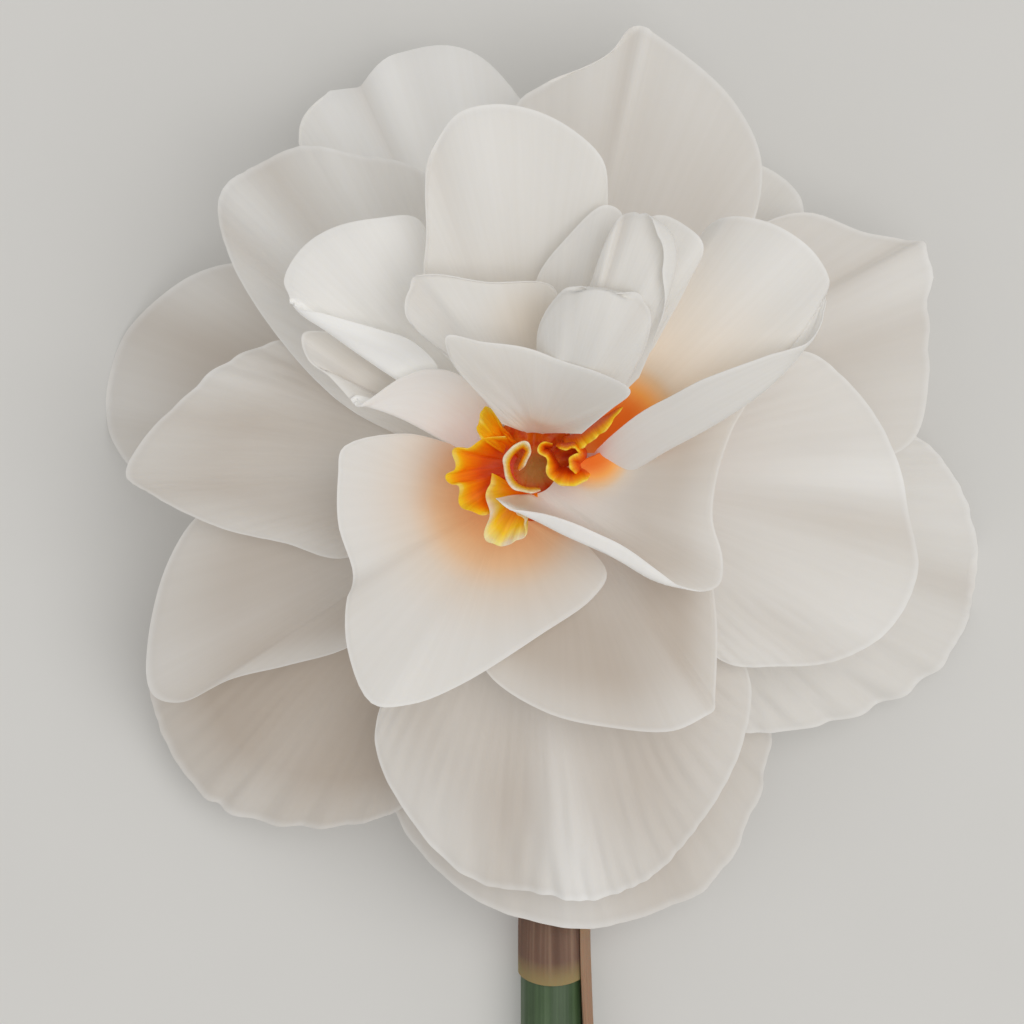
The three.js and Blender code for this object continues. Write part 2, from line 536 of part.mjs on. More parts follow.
// The origin goes to the middle of the footprint, on the table.
const bounds = new THREE.Box3().setFromObject(flower);
const middle = bounds.getCenter(new THREE.Vector3());
for (const mesh of flower.children) mesh.geometry.translate(-middle.x, -middle.y, -bounds.min.z);

export default flower;
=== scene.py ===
import math

import bpy
import numpy as np
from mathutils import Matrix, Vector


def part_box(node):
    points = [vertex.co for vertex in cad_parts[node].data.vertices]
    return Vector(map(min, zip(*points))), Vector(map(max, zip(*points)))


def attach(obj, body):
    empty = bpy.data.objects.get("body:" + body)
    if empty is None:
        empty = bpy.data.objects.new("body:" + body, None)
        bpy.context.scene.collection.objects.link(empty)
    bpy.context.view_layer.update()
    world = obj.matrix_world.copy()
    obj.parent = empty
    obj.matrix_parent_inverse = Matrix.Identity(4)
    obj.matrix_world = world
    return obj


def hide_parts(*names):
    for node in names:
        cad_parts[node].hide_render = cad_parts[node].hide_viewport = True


# A double narcissus, lying face up on its stalk. Shapes are worked out in millimetres, with the
# bloom's axis at x = y = 0 and the table near z = 0, and are set down in the frame in metres.
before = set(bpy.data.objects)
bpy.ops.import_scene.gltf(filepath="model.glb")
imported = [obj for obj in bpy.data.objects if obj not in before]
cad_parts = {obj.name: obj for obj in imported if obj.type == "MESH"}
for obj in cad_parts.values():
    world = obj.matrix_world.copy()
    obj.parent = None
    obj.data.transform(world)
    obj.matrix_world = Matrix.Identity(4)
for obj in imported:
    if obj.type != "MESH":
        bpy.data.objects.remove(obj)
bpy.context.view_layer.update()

MM = 0.001
DEGREE = math.pi / 180

# The heart of the bloom, as the solids have it.
COLUMN_RADIUS = 5.2
COLUMN_BOTTOM = 18.2
COLUMN_TOP = 31.0
SEAT_GAP = 0.3
SOLID_BLADE = 0.65
# The claws here run on into the heart, as they grow from it.
CLAW_DEPTH = 0.5
CLAW_HEIGHTS = [19, 20, 21, 22, 23, 24, 25.1, 26.2, 27.4, 28.7, 30.1]

core_low, core_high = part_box("receptacle")
BLOOM = np.array([
    (core_low[0] + core_high[0]) / 2,
    (core_low[1] + core_high[1]) / 2,
    core_low[2] - COLUMN_BOTTOM * MM,
])
TABLE = -BLOOM[2] / MM

# A petal is a fan of lines from its claw to its margin, given anticlockwise as x, y and, where it
# isn't 0, lift. Outwards it rises by slope * reach + bend * reach ** 2.
# level: which claw height it has, or top: how far from the axis it stands on the heart.
# azimuth: where its claw points. claw: half the claw's width, if that isn't 1 mm.
# hem: a strip turned up along the margin, from a start to an end across, with a ramp at both.
# wall: a side turned up, with widths from claw to margin. bow: how far that side bulges.
# lean, round and white: how many degrees these turn, their fold's radius, and how much painted light
# whitens them.
# folds: place across the petal, half width, height in mm, and where along it they begin.
# flutes: first and last place across, number of waves, height in mm, and where they begin.
# dome: how many mm its middle bulges.
# warm: how orange the claw is, partly its own orange and partly painted glow from the orange heart, and
# how many mm from the bloom's axis that fades.
# glow: the middle of that orange, if it isn't the axis, and how far it stays strong.
# blush: how many mm from there a painted glow of pale peach light fades.
# cream: how much painted shade dulls the petal's white, where other petals shade it. painted_brightening:
# how much painted light whitens it over that, off its orange.
# crinkle: height in mm of the fine crinkles across its outer half.
PETALS = {
    "outer_petal_bottom_back": dict(
        level=0, azimuth=-90, cream=0.75, crinkle=0.05, slope=0.05, bend=-0.0066,
        margin=[(-11, -17.5, -3), (-15, -28, -3.5), (-13.5, -36.5, -2.5), (-6, -44.2, -0.5), (3, -47.1),
                (10, -46.7), (18.2, -43.2, -2), (22.7, -36, -4.5), (25, -27.5, -7), (23, -19, -7),
                (15, -11.5, -3.5)],
        folds=[(0.42, 0.05, 0.4, 0.4), (0.55, 0.05, -0.3, 0.5)], flutes=[(0.5, 0.85, 5, 0.25, 0.7)]),
    "outer_petal_right_back": dict(
        level=1, azimuth=-6, cream=0.2, crinkle=0.08, slope=0.08, bend=-0.0112,
        margin=[(11, -15.5, 0.5), (17.5, -25.5, 0.6), (22, -27, 0.5), (29, -26.5), (36, -24.5, -0.5),
                (42, -21), (45.5, -16, -1), (47, -10, -3.15), (44.5, -1.5, -1), (40, 3.5), (31, 5.5),
                (17.5, 4)],
        folds=[(0.6, 0.03, -0.45, 0.5), (0.7, 0.05, 0.3, 0.5)], flutes=[(0.25, 0.52, 4, 0.45, 0.72)]),
    "outer_petal_upper_right_back": dict(
        level=0, azimuth=28, cream=0.15, slope=0.05, bend=-0.0105,
        margin=[(12.5, 4), (24, 16.5), (28, 24), (28, 27.5), (26, 30.5), (21.5, 32), (13.5, 25),
                (6, 13.5)],
        folds=[(0.45, 0.06, 0.3, 0.5)]),
    # Painted light whitens this petal, which lies in shade.
    "outer_petal_top_left_back": dict(
        level=1, azimuth=110, painted_brightening=0.4, slope=0.08, bend=-0.0095,
        margin=[(1.5, 14.5), (3, 30), (-1, 38), (-5.5, 43), (-9.5, 44), (-14, 43, 0.5), (-18, 40, 1.2),
                (-21, 39, -0.6), (-23.5, 36.5, 1.5), (-24, 34, 1.5), (-19.5, 25), (-8.5, 10.5)],
        hem=dict(start=0.6, end=0.9, ramp=0.12, width=1, lean=110, round=0.4),
        folds=[(0.545, 0.03, -0.8, 0.45), (0.49, 0.04, 0.7, 0.4), (0.63, 0.05, 0.6, 0.45),
               (0.35, 0.06, 0.4, 0.4)]),
    "outer_petal_left_back": dict(
        level=0, azimuth=185, cream=0.6, slope=0.05, bend=-0.0114,
        margin=[(-14, 10.8), (-25, 20), (-31, 21.5), (-37.5, 19), (-42.5, 15, -1), (-44.5, 7.5, -2.95),
                (-44, 3.5, -1.5), (-40, -1), (-30.5, -3.5), (-17, -2.9)],
        folds=[(0.3, 0.05, 0.35, 0.4), (0.42, 0.05, -0.35, 0.4), (0.55, 0.05, 0.3, 0.5)]),
    "outer_petal_lower_left_back": dict(
        level=1, azimuth=210, cream=1.3, crinkle=0.05, slope=0.08, bend=-0.0105,
        margin=[(-18.5, -6.8), (-32.5, -13.5), (-39.5, -19.5), (-39, -26), (-35.5, -32.5, 0.5),
                (-31, -35.5), (-24, -37, 0.5), (-17.5, -36.5, 1), (-12.5, -34, 2), (-8, -24, 2),
                (-5.2, -13.5, 1)],
        folds=[(0.5, 0.06, 0.25, 0.4)], flutes=[(0.35, 0.82, 7, 0.3, 0.75)]),
    "outer_petal_bottom_front": dict(
        level=3, azimuth=-100, cream=0.6, crinkle=0.08, slope=0.27, bend=-0.0113,
        margin=[(-13.5, -18.5), (-16, -28), (-11.5, -37), (-5, -42.6), (1.2, -43.4), (7, -43.5),
                (12.5, -41.5), (17.5, -36), (21.5, -28), (22, -20.5), (16, -13.5)],
        folds=[(0.46, 0.06, 0.9, 0.3), (0.34, 0.06, -0.4, 0.4), (0.22, 0.06, 0.3, 0.4),
               (0.66, 0.06, -0.3, 0.4)],
        flutes=[(0.15, 0.85, 15, 0.07, 0.4)]),
    "outer_petal_right_front": dict(
        level=4, azimuth=-4, cream=0.18, crinkle=0.03, slope=0.35, bend=-0.012,
        margin=[(12, -12), (19.5, -19.5), (25, -20), (31, -19.5), (36.5, -16), (39.5, -10), (38, -3),
                (35.5, 4.5), (31.5, 9.5), (27.5, 12), (20, 9.5), (11, 5)],
        folds=[(0.5, 0.04, -0.5, 0.15), (0.575, 0.035, 0.6, 0.15), (0.35, 0.06, 0.3, 0.4),
               (0.26, 0.05, -0.3, 0.5)]),
    "outer_petal_upper_right_front": dict(
        level=2, azimuth=45, cream=0.4, slope=0.2, bend=-0.0113,
        margin=[(15, 1), (27.5, 0.6), (35.5, 1), (39.5, 3.5), (41, 10.5), (41, 17.5), (40.5, 23.5, 1),
                (38.5, 24, 0.5), (34.5, 24.5), (28, 26.5), (21.5, 24), (8, 11)],
        folds=[(0.5, 0.04, 0.5, 0.4), (0.42, 0.04, -0.3, 0.4), (0.62, 0.05, -0.25, 0.4)],
        flutes=[(0.34, 0.6, 4, 0.35, 0.7)]),
    "outer_petal_top_front": dict(
        level=3, azimuth=55, cream=0.35, slope=0.27, bend=-0.0113,
        margin=[(11, 10), (21, 21.5), (23.5, 31), (21, 37.5), (16, 42.5), (12.5, 45, 0.5), (11, 45.5, 1),
                (8, 43, 0.5), (2.5, 40), (-1.5, 37.5), (-2.5, 27.5), (0, 14.5)],
        hem=dict(start=0.5, end=0.78, ramp=0.1, width=1, lean=80, round=0.35),
        folds=[(0.5, 0.04, 0.3, 0.5), (0.58, 0.04, -0.25, 0.5), (0.66, 0.05, 0.25, 0.5),
               (0.35, 0.06, 0.25, 0.4)]),
    "outer_petal_upper_left_front": dict(
        level=4, azimuth=157, cream=0.07, crinkle=0.04, slope=0.35, bend=-0.012,
        margin=[(-4.5, 14.5), (-8.5, 27.5), (-12.5, 31), (-18, 32), (-24, 33), (-29.5, 30.5), (-32, 27),
                (-30.5, 21), (-25, 12.5), (-19, 6.5), (-11.5, 2.5)],
        folds=[(0.34, 0.04, 0.5, 0.4), (0.46, 0.04, -0.5, 0.4), (0.55, 0.04, 0.5, 0.4),
               (0.64, 0.04, -0.4, 0.45)]),
    "outer_petal_left_front": dict(
        level=3, azimuth=174, cream=0.6, crinkle=0.04, slope=0.27, bend=-0.0113,
        margin=[(-9.5, 7), (-19.5, 12.5, -1), (-26, 13), (-31, 11, 0.5), (-35.5, 7.5, 1), (-39.5, 3.5, 1),
                (-41.5, -0.5, 0.5), (-39, -2.5), (-31.5, -6), (-25, -7.5), (-19.5, -9), (-10.5, -5.5)],
        folds=[(0.3, 0.04, 0.35, 0.35), (0.4, 0.04, -0.3, 0.35), (0.62, 0.06, -0.3, 0.4)],
        flutes=[(0.1, 0.42, 5, 0.3, 0.7)]),
    "outer_petal_lower_left_front": dict(
        level=2, azimuth=213, cream=0.75, slope=0.2, bend=-0.0113,
        margin=[(-13.5, -1.5), (-26, -2), (-33.5, -4), (-37.5, -9.5), (-39.5, -18), (-39, -23),
                (-36.5, -24), (-31, -21.5), (-25, -20), (-18.5, -18), (-8.5, -10.5)],
        folds=[(0.45, 0.06, 0.3, 0.4), (0.6, 0.04, -0.25, 0.5)]),
    "inner_petal_lower_right": dict(
        level=5, azimuth=-44, claw=1.6, cream=0.9, slope=0.5, bend=-0.0112,
        margin=[(-3, -9, -0.6), (-5.5, -17, -0.5), (-4.5, -20.5), (1.5, -24.5), (8, -26), (14, -26.3),
                (17.4, -24.8, 0.4), (18.3, -24.2, 0.6), (18.4, -22.8, 0.3), (18.5, -14.5), (17, -8),
                (9, -2)],
        folds=[(0.5, 0.07, 0.35, 0.3), (0.38, 0.05, -0.2, 0.4)], warm=(0.45, 13)),
    "inner_petal_lower_left": dict(
        level=6, azimuth=228, cream=0.05, slope=0.62, bend=-0.0115,
        margin=[(-7.6, 2.4, -0.6), (-13, 3.6, -0.3), (-19, 2.2), (-19.5, -0.5), (-19.5, -5.5),
                (-18, -10.5, -1), (-18.5, -12.5), (-18.5, -18), (-16, -23.5, 0.5), (-12, -23.5, 0.5),
                (-7, -21.5), (1, -16.5), (6, -13), (7.5, -10.5), (5, -7)],
        folds=[(0.42, 0.05, -0.35, 0.35), (0.6, 0.04, 0.3, 0.3)], warm=(0.56, 15.5),
        glow=(-3.2, -3.2, 2.4)),
    "inner_petal_right": dict(
        top=2.5, azimuth=-45, claw=1.9, cream=0.7, slope=0.32, bend=-0.008,
        margin=[(-3.6, -2.9, 3.2), (-1.7, -4.2, 3), (1.2, -5.6, 2.6), (4.4, -7.3, 2.2), (8.5, -9.2, 1.2),
                (12.5, -11, 0.4), (16, -12.2), (18.6, -11.6), (19, -9), (18, -5), (18.5, -0.5), (20, 4),
                (22, 8), (17, 6.2, -1.5), (9.5, 1.4, -2.5)],
        hem=dict(start=-0.02, end=0.5, ramp=0.24, width=2.5, lean=168, round=0.4, white=0.7),
        folds=[(0.6, 0.05, 0.25, 0.3), (0.75, 0.05, -0.25, 0.4)],
        flutes=[(0.02, 0.5, 2.5, 0.25, 0.5)], warm=(0.95, 5.4), glow=(6.2, 1.5, 0.8)),
    "inner_petal_upper_right": dict(
        level=8, azimuth=16, claw=1.2, slope=1.15, bend=-0.0215,
        margin=[(28.6, 16.4), (29.5, 18), (28, 21), (24, 24), (19.5, 25, -0.5), (17.2, 24, -2.8),
                (12.6, 17, -3.8), (7, 8.5, -1)],
        wall=dict(side="first", widths=[5.4, 7, 7.6, 7.6, 7.4, 6.4, 4.8, 2.2, 0.6], lean=149,
                  round=1.1, bow=4),
        folds=[(0.35, 0.06, 0.3, 0.3), (0.55, 0.05, -0.25, 0.4)], warm=(0.95, 9.5),
        glow=(8.4, 4.2, 1.6), blush=23),
    "inner_petal_top": dict(
        level=7, azimuth=94, slope=1, bend=-0.0162,
        margin=[(4, 9, -0.5), (6.5, 18, -1.2), (7.5, 27, -1), (7, 30.5, -0.3), (4, 33.5), (0, 35.5),
                (-4, 36), (-7.5, 35), (-9.5, 32), (-10.5, 27.5), (-10.5, 23), (-10.5, 18), (-5, 7)],
        hem=dict(start=0.6, end=1.1, ramp=0.16, width=0.9, lean=75, round=0.4),
        folds=[(0.55, 0.07, 0.3, 0.3), (0.7, 0.05, -0.3, 0.4)], warm=(0.12, 24)),
    # Painted light whitens this petal and its wall, which lie in shade.
    "inner_petal_upper_left": dict(
        level=6, azimuth=135, claw=1.2, painted_brightening=0.4, slope=0.85, bend=-0.0165,
        margin=[(-4.8, 10), (-9.5, 21), (-11.5, 25), (-15.5, 25), (-20, 24), (-23, 22), (-25, 18.5),
                (-24.5, 16.6)],
        wall=dict(side="last", widths=[0.6, 0.6, 2.4, 5.8, 6.2, 5.2, 4, 2.8, 0.6], lean=157,
                  round=0.9, white=0.9),
        folds=[(0.4, 0.07, 0.25, 0.3)], warm=(0.15, 12)),
    "inner_petal_left": dict(
        level=5, azimuth=167, claw=1.2, cream=0.4, slope=0.75, bend=-0.014,
        margin=[(-6.6, 5.5, -1), (-13, 10.5, -2), (-19, 13.5, -0.8), (-23, 13.5, 0.2), (-22.5, 11, 0.2),
                (-20.5, 9, 0.5), (-18.5, 6.5, 1.1)],
        wall=dict(side="last", widths=[3, 7, 9.2, 9.8, 9.8, 8.8, 6.6, 3.2, 0.6], lean=144,
                  round=0.9, bow=-1, white=0.85),
        warm=(0.1, 12)),
    "centre_petal_back_left": dict(
        level=9, azimuth=66, claw=0.8, slope=1.28, bend=-0.035,
        margin=[(6.2, 13), (8.3, 21.5, 0.3), (8.8, 25.3, 0.8), (7, 26, 1), (3.5, 23, 0.6), (0.3, 18.5),
                (0.6, 12.5)],
        folds=[(0.5, 0.1, 0.3, 0.3)], warm=(0.2, 18)),
    "centre_petal_back_right": dict(
        level=9, azimuth=36, claw=0.8, slope=1.38, bend=-0.034,
        margin=[(12, 12), (15.7, 19, 0.2), (16.8, 22, 0.5), (15, 24, 0.4), (12.8, 25), (11.4, 24.6),
                (7.4, 15.5)],
        folds=[(0.4, 0.1, 0.3, 0.3)], warm=(0.3, 18)),
    "centre_petal_left": dict(
        level=10, azimuth=90, claw=0.9, slope=1.35, bend=-0.038,
        margin=[(2.4, 13), (2, 18), (-4.5, 18.5), (-10, 19), (-11.5, 18.5), (-12.5, 17), (-12.5, 15),
                (-10.5, 13), (-7.5, 10.2), (-4.8, 7.4)],
        hem=dict(start=0.06, end=0.52, ramp=0.12, width=0.7, lean=95, round=0.3),
        folds=[(0.5, 0.08, -0.3, 0.3)], warm=(0.2, 6), glow=(-0.2, 14.5, 0.6)),
    "centre_petal_roll_high": dict(
        level=10, azimuth=45, claw=0.9, slope=1.5, bend=-0.036,
        margin=[(10.5, 9), (13.5, 16), (14.5, 20.5), (13.5, 23.5), (11, 25), (9, 25), (7.5, 23), (6, 19),
                (4.5, 14)],
        hem=dict(start=0, end=0.6, ramp=0.22, width=3.8, lean=165, round=1), dome=1.2,
        folds=[(0.62, 0.05, -0.5, 0.3)], warm=(0.15, 14)),
    "centre_petal_roll_low": dict(
        top=5, azimuth=56, claw=0.9, slope=1.7, bend=-0.046,
        margin=[(8.5, 7), (11, 12), (11.5, 15), (10, 17), (7.5, 18.5), (4.5, 18.5), (2, 16.5), (0.5, 13.5),
                (0.7, 9.5)],
        hem=dict(start=0.3, end=0.74, ramp=0.21, width=2.4, lean=160, round=0.55), dome=2.6,
        folds=[(0.3, 0.06, -0.3, 0.4)], warm=(0.15, 12)),
    "centre_petal_hood": dict(
        top=3.8, azimuth=86, claw=0.9, cream=0.2, slope=1.9, bend=-0.03,
        margin=[(5, 3.5), (7.8, 5.9), (9.5, 7.5), (6.5, 9.5), (2, 11), (-1.5, 12), (-5, 12.5), (-8.5, 13),
                (-8, 10.5), (-4.5, 6.5), (-3, 4.5)],
        dome=0.6, folds=[(0.35, 0.1, 0.25, 0.3)], warm=(0.2, 7)),
}

# Tones run from 0 deep red-orange, through orange and yellow, to 1 cream. Each lobe has its tone at
# the claw, halfway, near the margin and at the margin; a last value shifts its first side's tone.
CROWN_LOBES = {
    "crown_lobe_left": dict(
        top=1.9, azimuth=178, claw=1.3, slope=0, bend=0.012,
        margin=[(-2.7, 3.2, 2.2), (-4.9, 3.1, 2.6), (-6.5, 2, 2.8), (-7.9, 1.8, 2.7), (-8, 0.2, 2.9),
                (-8.5, -0.6, 3.1), (-8.1, -1.5, 2.9), (-7.4, -1.9, 2.7), (-7, -3.3, 2.6),
                (-6.4, -4.1, 2.7), (-5.3, -4.6, 2.4), (-4.4, -4.5, 2), (-4, -2.6, 1)],
        flutes=[(0.05, 0.95, 4, 0.25, 0.6)], tones=(0.02, 0.11, 0.4, 0.73), side=0),
    "crown_lobe_upper_left": dict(
        top=3.2, azimuth=136, claw=0.9, slope=0.9, bend=0,
        margin=[(-2.2, 3.2, 0.4), (-3.3, 4.5, 0.6), (-4.6, 6.2, 0.9), (-5.4, 5.3, 1.2), (-5.4, 4.1, 1.2),
                (-5, 3, 0.8)],
        flutes=[(0.05, 0.95, 2, 0.2, 0.3)], tones=(0.3, 0.5, 0.62, 0.72), side=-0.5),
    "crown_lobe_tongue": dict(
        top=2.2, azimuth=262, claw=0.8, slope=0.25, bend=0,
        margin=[(-4.1, -0.4, 1.3), (-4.5, -1.8, 1.6), (-4.4, -4.4, 1.5), (-4.5, -7.2, 0.7),
                (-3.2, -7.6, 0.6), (-1.8, -7.3, 0.9), (-0.8, -6.4, 1.3), (-0.6, -5.2, 1.5),
                (-1.4, -4.3, 1), (0.6, -3.6, 0.4)],
        flutes=[(0.03, 0.5, 3, 0.24, 0.2), (0.5, 0.97, 2.5, 0.22, 0.3)],
        tones=(0.12, 0.5, 0.8, 0.94), side=-0.12),
}

# Each frill stands on the heart: x, y, how far its foot is above the seat, its height, and how far
# its foot is tucked in to the left of its path. It leans out to the right of its path by the flare,
# less towards its ends, over a share of its length called taper.
CROWN_FRILLS = {
    "crown_frill_curl": dict(flare=0.2, wave=0.07, tones=(0.5, 0.74, 0.92, 1), path=[
        (-1.3, -0.1, 0, 2.6, 0.2), (-0.7, 0.9, 0, 3.6, 0.3), (-0.3, 1.9, 0, 4.4, 0.3),
        (-0.9, 2.6, 0, 4.8, 0.4), (-1.9, 2.1, 0, 5.2, 0.4), (-2.7, 0.9, 0, 5, 0.4),
        (-2.6, -0.5, 0, 4.6, 0.4), (-1.9, -1.7, 0, 4.8, 0.4), (-0.6, -2.2, 0, 4.2, 0.3),
        (0.8, -2.1, 0, 3.6, 0.2)]),
    "crown_frill_right": dict(flare=0.25, wave=0.05, tones=(0, 0.1, 0.46, 0.78), path=[
        (2, 2.5, 0, 3.4, 0.3), (1, 2.5, 0, 3.6, 0.4), (0.8, 1.8, 0, 3.8, 0.5),
        (1.5, 1.3, 0, 3.8, 0.5), (1.7, 0.4, 0, 4, 0.9), (1.6, -0.4, 0, 4.2, 1.3),
        (2.2, -1, 0, 3.6, 1.4), (3.1, -1.4, 0, 4, 1.6), (4.1, -1.5, 0, 4.2, 1.6),
        (5.1, -1, 0.2, 3.6, 1.3), (5.8, -0.6, 0.4, 2.8, 0.6)]),
    "crown_frill_middle": dict(flare=0.2, wave=0.05, tones=(0.02, 0.12, 0.42, 0.74), path=[
        (2.4, 2.3, 0, 3.4, 0.4), (3.4, 2.1, 0, 3.8, 0.5), (4.3, 2.3, 0, 3.6, 0.5),
        (4.7, 1.5, 0, 3.8, 0.7), (3.8, 1, 0, 4.4, 0.8), (4, 0.1, 0, 3.8, 0.9),
        (4.6, -0.6, 0, 3.6, 0.6)]),
    "crown_frill_upper_right": dict(
        flare=0.5, wave=0.05, taper=0.3, tones=(0.1, 0.22, 0.6, 0.74), path=[
            (3.4, 2.1, 0, 3, 1.1), (4.7, 2.5, 0.3, 3.4, 1.1), (5.8, 3.3, 0.8, 4.2, 1),
            (7.2, 4.4, 2.6, 3.8, 0.7), (8.9, 6.2, 4.6, 2.2, 0)]),
}

# How finely the pieces are divided. A petal's rows are closer from MARGIN_START on.
PETAL_ROWS = 30
MARGIN_ROWS = 22
MARGIN_START = 0.84
PETAL_COLUMNS = 72
CRINKLED_COLUMNS = 190
WALL_COLUMNS = 22
CROWN_ROWS = 26
CROWN_COLUMNS = 90
WRAP_ROWS = 60
WRAP_COLUMNS = 80

# Thicknesses in mm, a rim's share of them, and how far in a piece thins, as a share of its width.
PETAL_THICKNESS = 0.24
CROWN_THICKNESS = 0.26
SHEATH_THICKNESS = 0.22
RIM_SHARE = 0.3
RIM_REACH = 0.04

# Soft unevenness of a petal: waves across, waves along, and height in mm.
UNEVENNESS = [(1.5, 0.6, 0.14), (3.2, 0.9, 0.08), (6.5, 1.2, 0.03)]
CRINKLE_WAVES = (17, 23, 31, 41)
# The relief fades out over this share of a petal's length, at its claw.
CALM_CLAW = 0.25
# A wall shifts this share of its petal's width, counts as so much more of it, and isn't orange
# beyond so much of it.
WALL_REACH = 0.4
WALL_SPAN = 0.35
WALL_FADE = 0.12
# A turned-up part takes on its own tone over so many mm.
TURN_LENGTH = 0.4

# How much painted highlight whitens a petal's thin margin, which is also a little paler itself, and how
# far in, as a share of its width.
MARGIN_HIGHLIGHT = 0.35
MARGIN_REACH = 0.022
# Shares of a petal's painted shade at its margin and at its claw, and for each mm of its creases, painted
# highlight on their ridges and painted shade in their furrows.
MARGIN_SHADE_SHARE = 0.45
CLAW_SHADE_SHARE = 0.15
CREASE_LIGHT_AND_SHADE = 0.6


def clamp01(value):
    return np.clip(value, 0, 1)


def rise(value, start, end):
    """0 at the start, 1 at the end, and smooth between. The end may be the lower value."""
    share = clamp01((value - start) / (end - start))
    return share * share * (3 - 2 * share)


def unit(vectors):
    length = np.linalg.norm(vectors, axis=-1, keepdims=True)
    return vectors / np.maximum(length, 1e-9)


def through_points(points, places):
    """Points of a centripetal Catmull-Rom curve, at places from 0 to 1 along it."""
    points = np.asarray(points, float)
    padded = np.vstack([2 * points[0] - points[1], points, 2 * points[-1] - points[-2]])
    scaled = clamp01(places) * (len(points) - 1)
    index = np.minimum(scaled.astype(int), len(points) - 2)
    weight = (scaled - index)[:, None]
    p0, p1, p2, p3 = (padded[index + k] for k in range(4))
    gaps = [np.sqrt(np.linalg.norm(b - a, axis=1))[:, None] for a, b in ((p0, p1), (p1, p2), (p2, p3))]
    g0, g1, g2 = (np.maximum(gap, 1e-4) for gap in gaps)
    t1 = ((p1 - p0) / g0 - (p2 - p0) / (g0 + g1) + (p2 - p1) / g1) * g1
    t2 = ((p2 - p1) / g1 - (p3 - p1) / (g1 + g2) + (p3 - p2) / g2) * g1
    w2, w3 = weight ** 2, weight ** 3
    return (p1 * (2 * w3 - 3 * w2 + 1) + t1 * (w3 - 2 * w2 + weight)
            + p2 * (3 * w2 - 2 * w3) + t2 * (w3 - w2))


def turned_up(past, fold, first):
    """How far a sheet that turns up on an arc has gone sideways and up, past its fold."""
    last = fold["lean"] * DEGREE
    turned = np.minimum(past / fold["round"], last - first)
    straight = np.maximum(0, past - fold["round"] * (last - first))
    sideways = fold["round"] * (np.sin(first + turned) - np.sin(first)) + straight * math.cos(last)
    up = fold["round"] * (np.cos(first) - np.cos(first + turned)) + straight * math.sin(last)
    return sideways, up


def hem_length(hem, across):
    if not hem:
        return np.zeros_like(across)
    opens = rise(across, hem["start"], hem["start"] + hem["ramp"])
    return hem["width"] * opens * rise(across, hem["end"], hem["end"] - hem["ramp"])


def claw_of(petal):
    tilt = math.atan(petal["slope"])
    if "top" in petal:
        return petal["top"], COLUMN_TOP + SEAT_GAP + SOLID_BLADE / 2 * math.cos(tilt)
    return COLUMN_RADIUS - CLAW_DEPTH, CLAW_HEIGHTS[petal["level"]]


def sheet_grid(petal, along, across):
    """The petal's sheet without its side wall, and where on it (0 to 1) a hem is turned up."""
    radius, claw_height = claw_of(petal)
    margin = [(*point, 0)[:3] for point in petal["margin"]]
    edge = through_points(margin, across)
    step = 1e-4
    tangent = through_points(margin, across + step) - through_points(margin, across - step)
    outward = unit(np.column_stack([tangent[:, 1], -tangent[:, 0]]))
    angle = petal["azimuth"] * DEGREE + petal.get("claw", 1) / radius * (2 * across - 1)
    claw = radius * np.column_stack([np.cos(angle), np.sin(angle)])
    hem = petal.get("hem")
    folded = hem_length(hem, across)
    fold = edge[:, :2].copy()
    if hem:
        fold -= outward * (hem["round"] * clamp01(folded))[:, None]
    line = fold - claw
    sheet = np.linalg.norm(line, axis=1)
    run = along[:, None] * (sheet + folded)
    reach = np.minimum(run, sheet)
    past = np.maximum(run - sheet, 0)
    share = reach / sheet
    place = claw + line * share[..., None]
    height = (claw_height + petal["slope"] * reach + petal["bend"] * reach ** 2
              + edge[:, 2] * share ** 3)
    if hem:
        steepness = (petal["slope"] + 2 * petal["bend"] * sheet) * (unit(line) * outward).sum(1)
        sideways, up = turned_up(past, hem, np.arctan(steepness))
        place = place + outward * sideways[..., None]
        height = height + up
    wall = petal.get("wall")
    if wall:
        first = wall["side"] == "first"
        nearness = rise(across if first else 1 - across, WALL_REACH, 0)
        crosswise = unit(np.column_stack([-line[:, 1], line[:, 0]])) * (-1 if first else 1)
        inset = wall["round"] * clamp01(wall_width(wall, along)) * rise(along, 0, 1 / 3)
        shift = wall.get("bow", 0) * (4 * along * (1 - along)) ** 0.6 - inset
        place = place + crosswise * (shift[:, None] * nearness)[..., None]
    return np.dstack([place, height]), rise(past, 0, TURN_LENGTH)


def wall_width(wall, along):
    widths = [(index, width, 0) for index, width in enumerate(wall["widths"])]
    return through_points(widths, along)[:, 1]


def petal_grid(petal, along, columns):
    """Middle surface of a petal, the place across of each column, and where it is turned up."""
    across = np.linspace(0, 1, columns + 1)
    sheet, turned = sheet_grid(petal, along, across)
    wall = petal.get("wall")
    if not wall:
        return sheet, across, turned
    first = wall["side"] == "first"
    side = sheet[:, 0 if first else -1]
    forward = np.gradient(side[:, :2], axis=0)
    outward = unit(np.column_stack([forward[:, 1], -forward[:, 0]])) * (1 if first else -1)
    width = wall_width(wall, along)
    strips = []
    steps = np.linspace(0, 1, WALL_COLUMNS + 1)[1:]
    for into in steps:
        sideways, up = turned_up(width * into, wall, 0)
        strips.append(side + np.column_stack([outward * sideways[:, None], up]))
    strip = np.stack(strips, axis=1)
    beyond = WALL_SPAN * steps
    on_wall = np.ones((len(along), WALL_COLUMNS))
    if first:
        return (np.hstack([strip[:, ::-1], sheet]), np.hstack([-beyond[::-1], across]),
                np.hstack([on_wall, turned]))
    return np.hstack([sheet, strip]), np.hstack([across, 1 + beyond]), np.hstack([turned, on_wall])


def raised_grid(petal, along, columns, seed):
    """A petal's middle surface with its relief, its places across, and where it is turned up."""
    grid, across, turned = petal_grid(petal, along, columns)
    uneven = relief(petal, along, across, seed)
    return grid + normals_of(grid) * uneven[..., None], across, turned


def normals_of(grid):
    return unit(np.cross(np.gradient(grid, axis=0), np.gradient(grid, axis=1)))


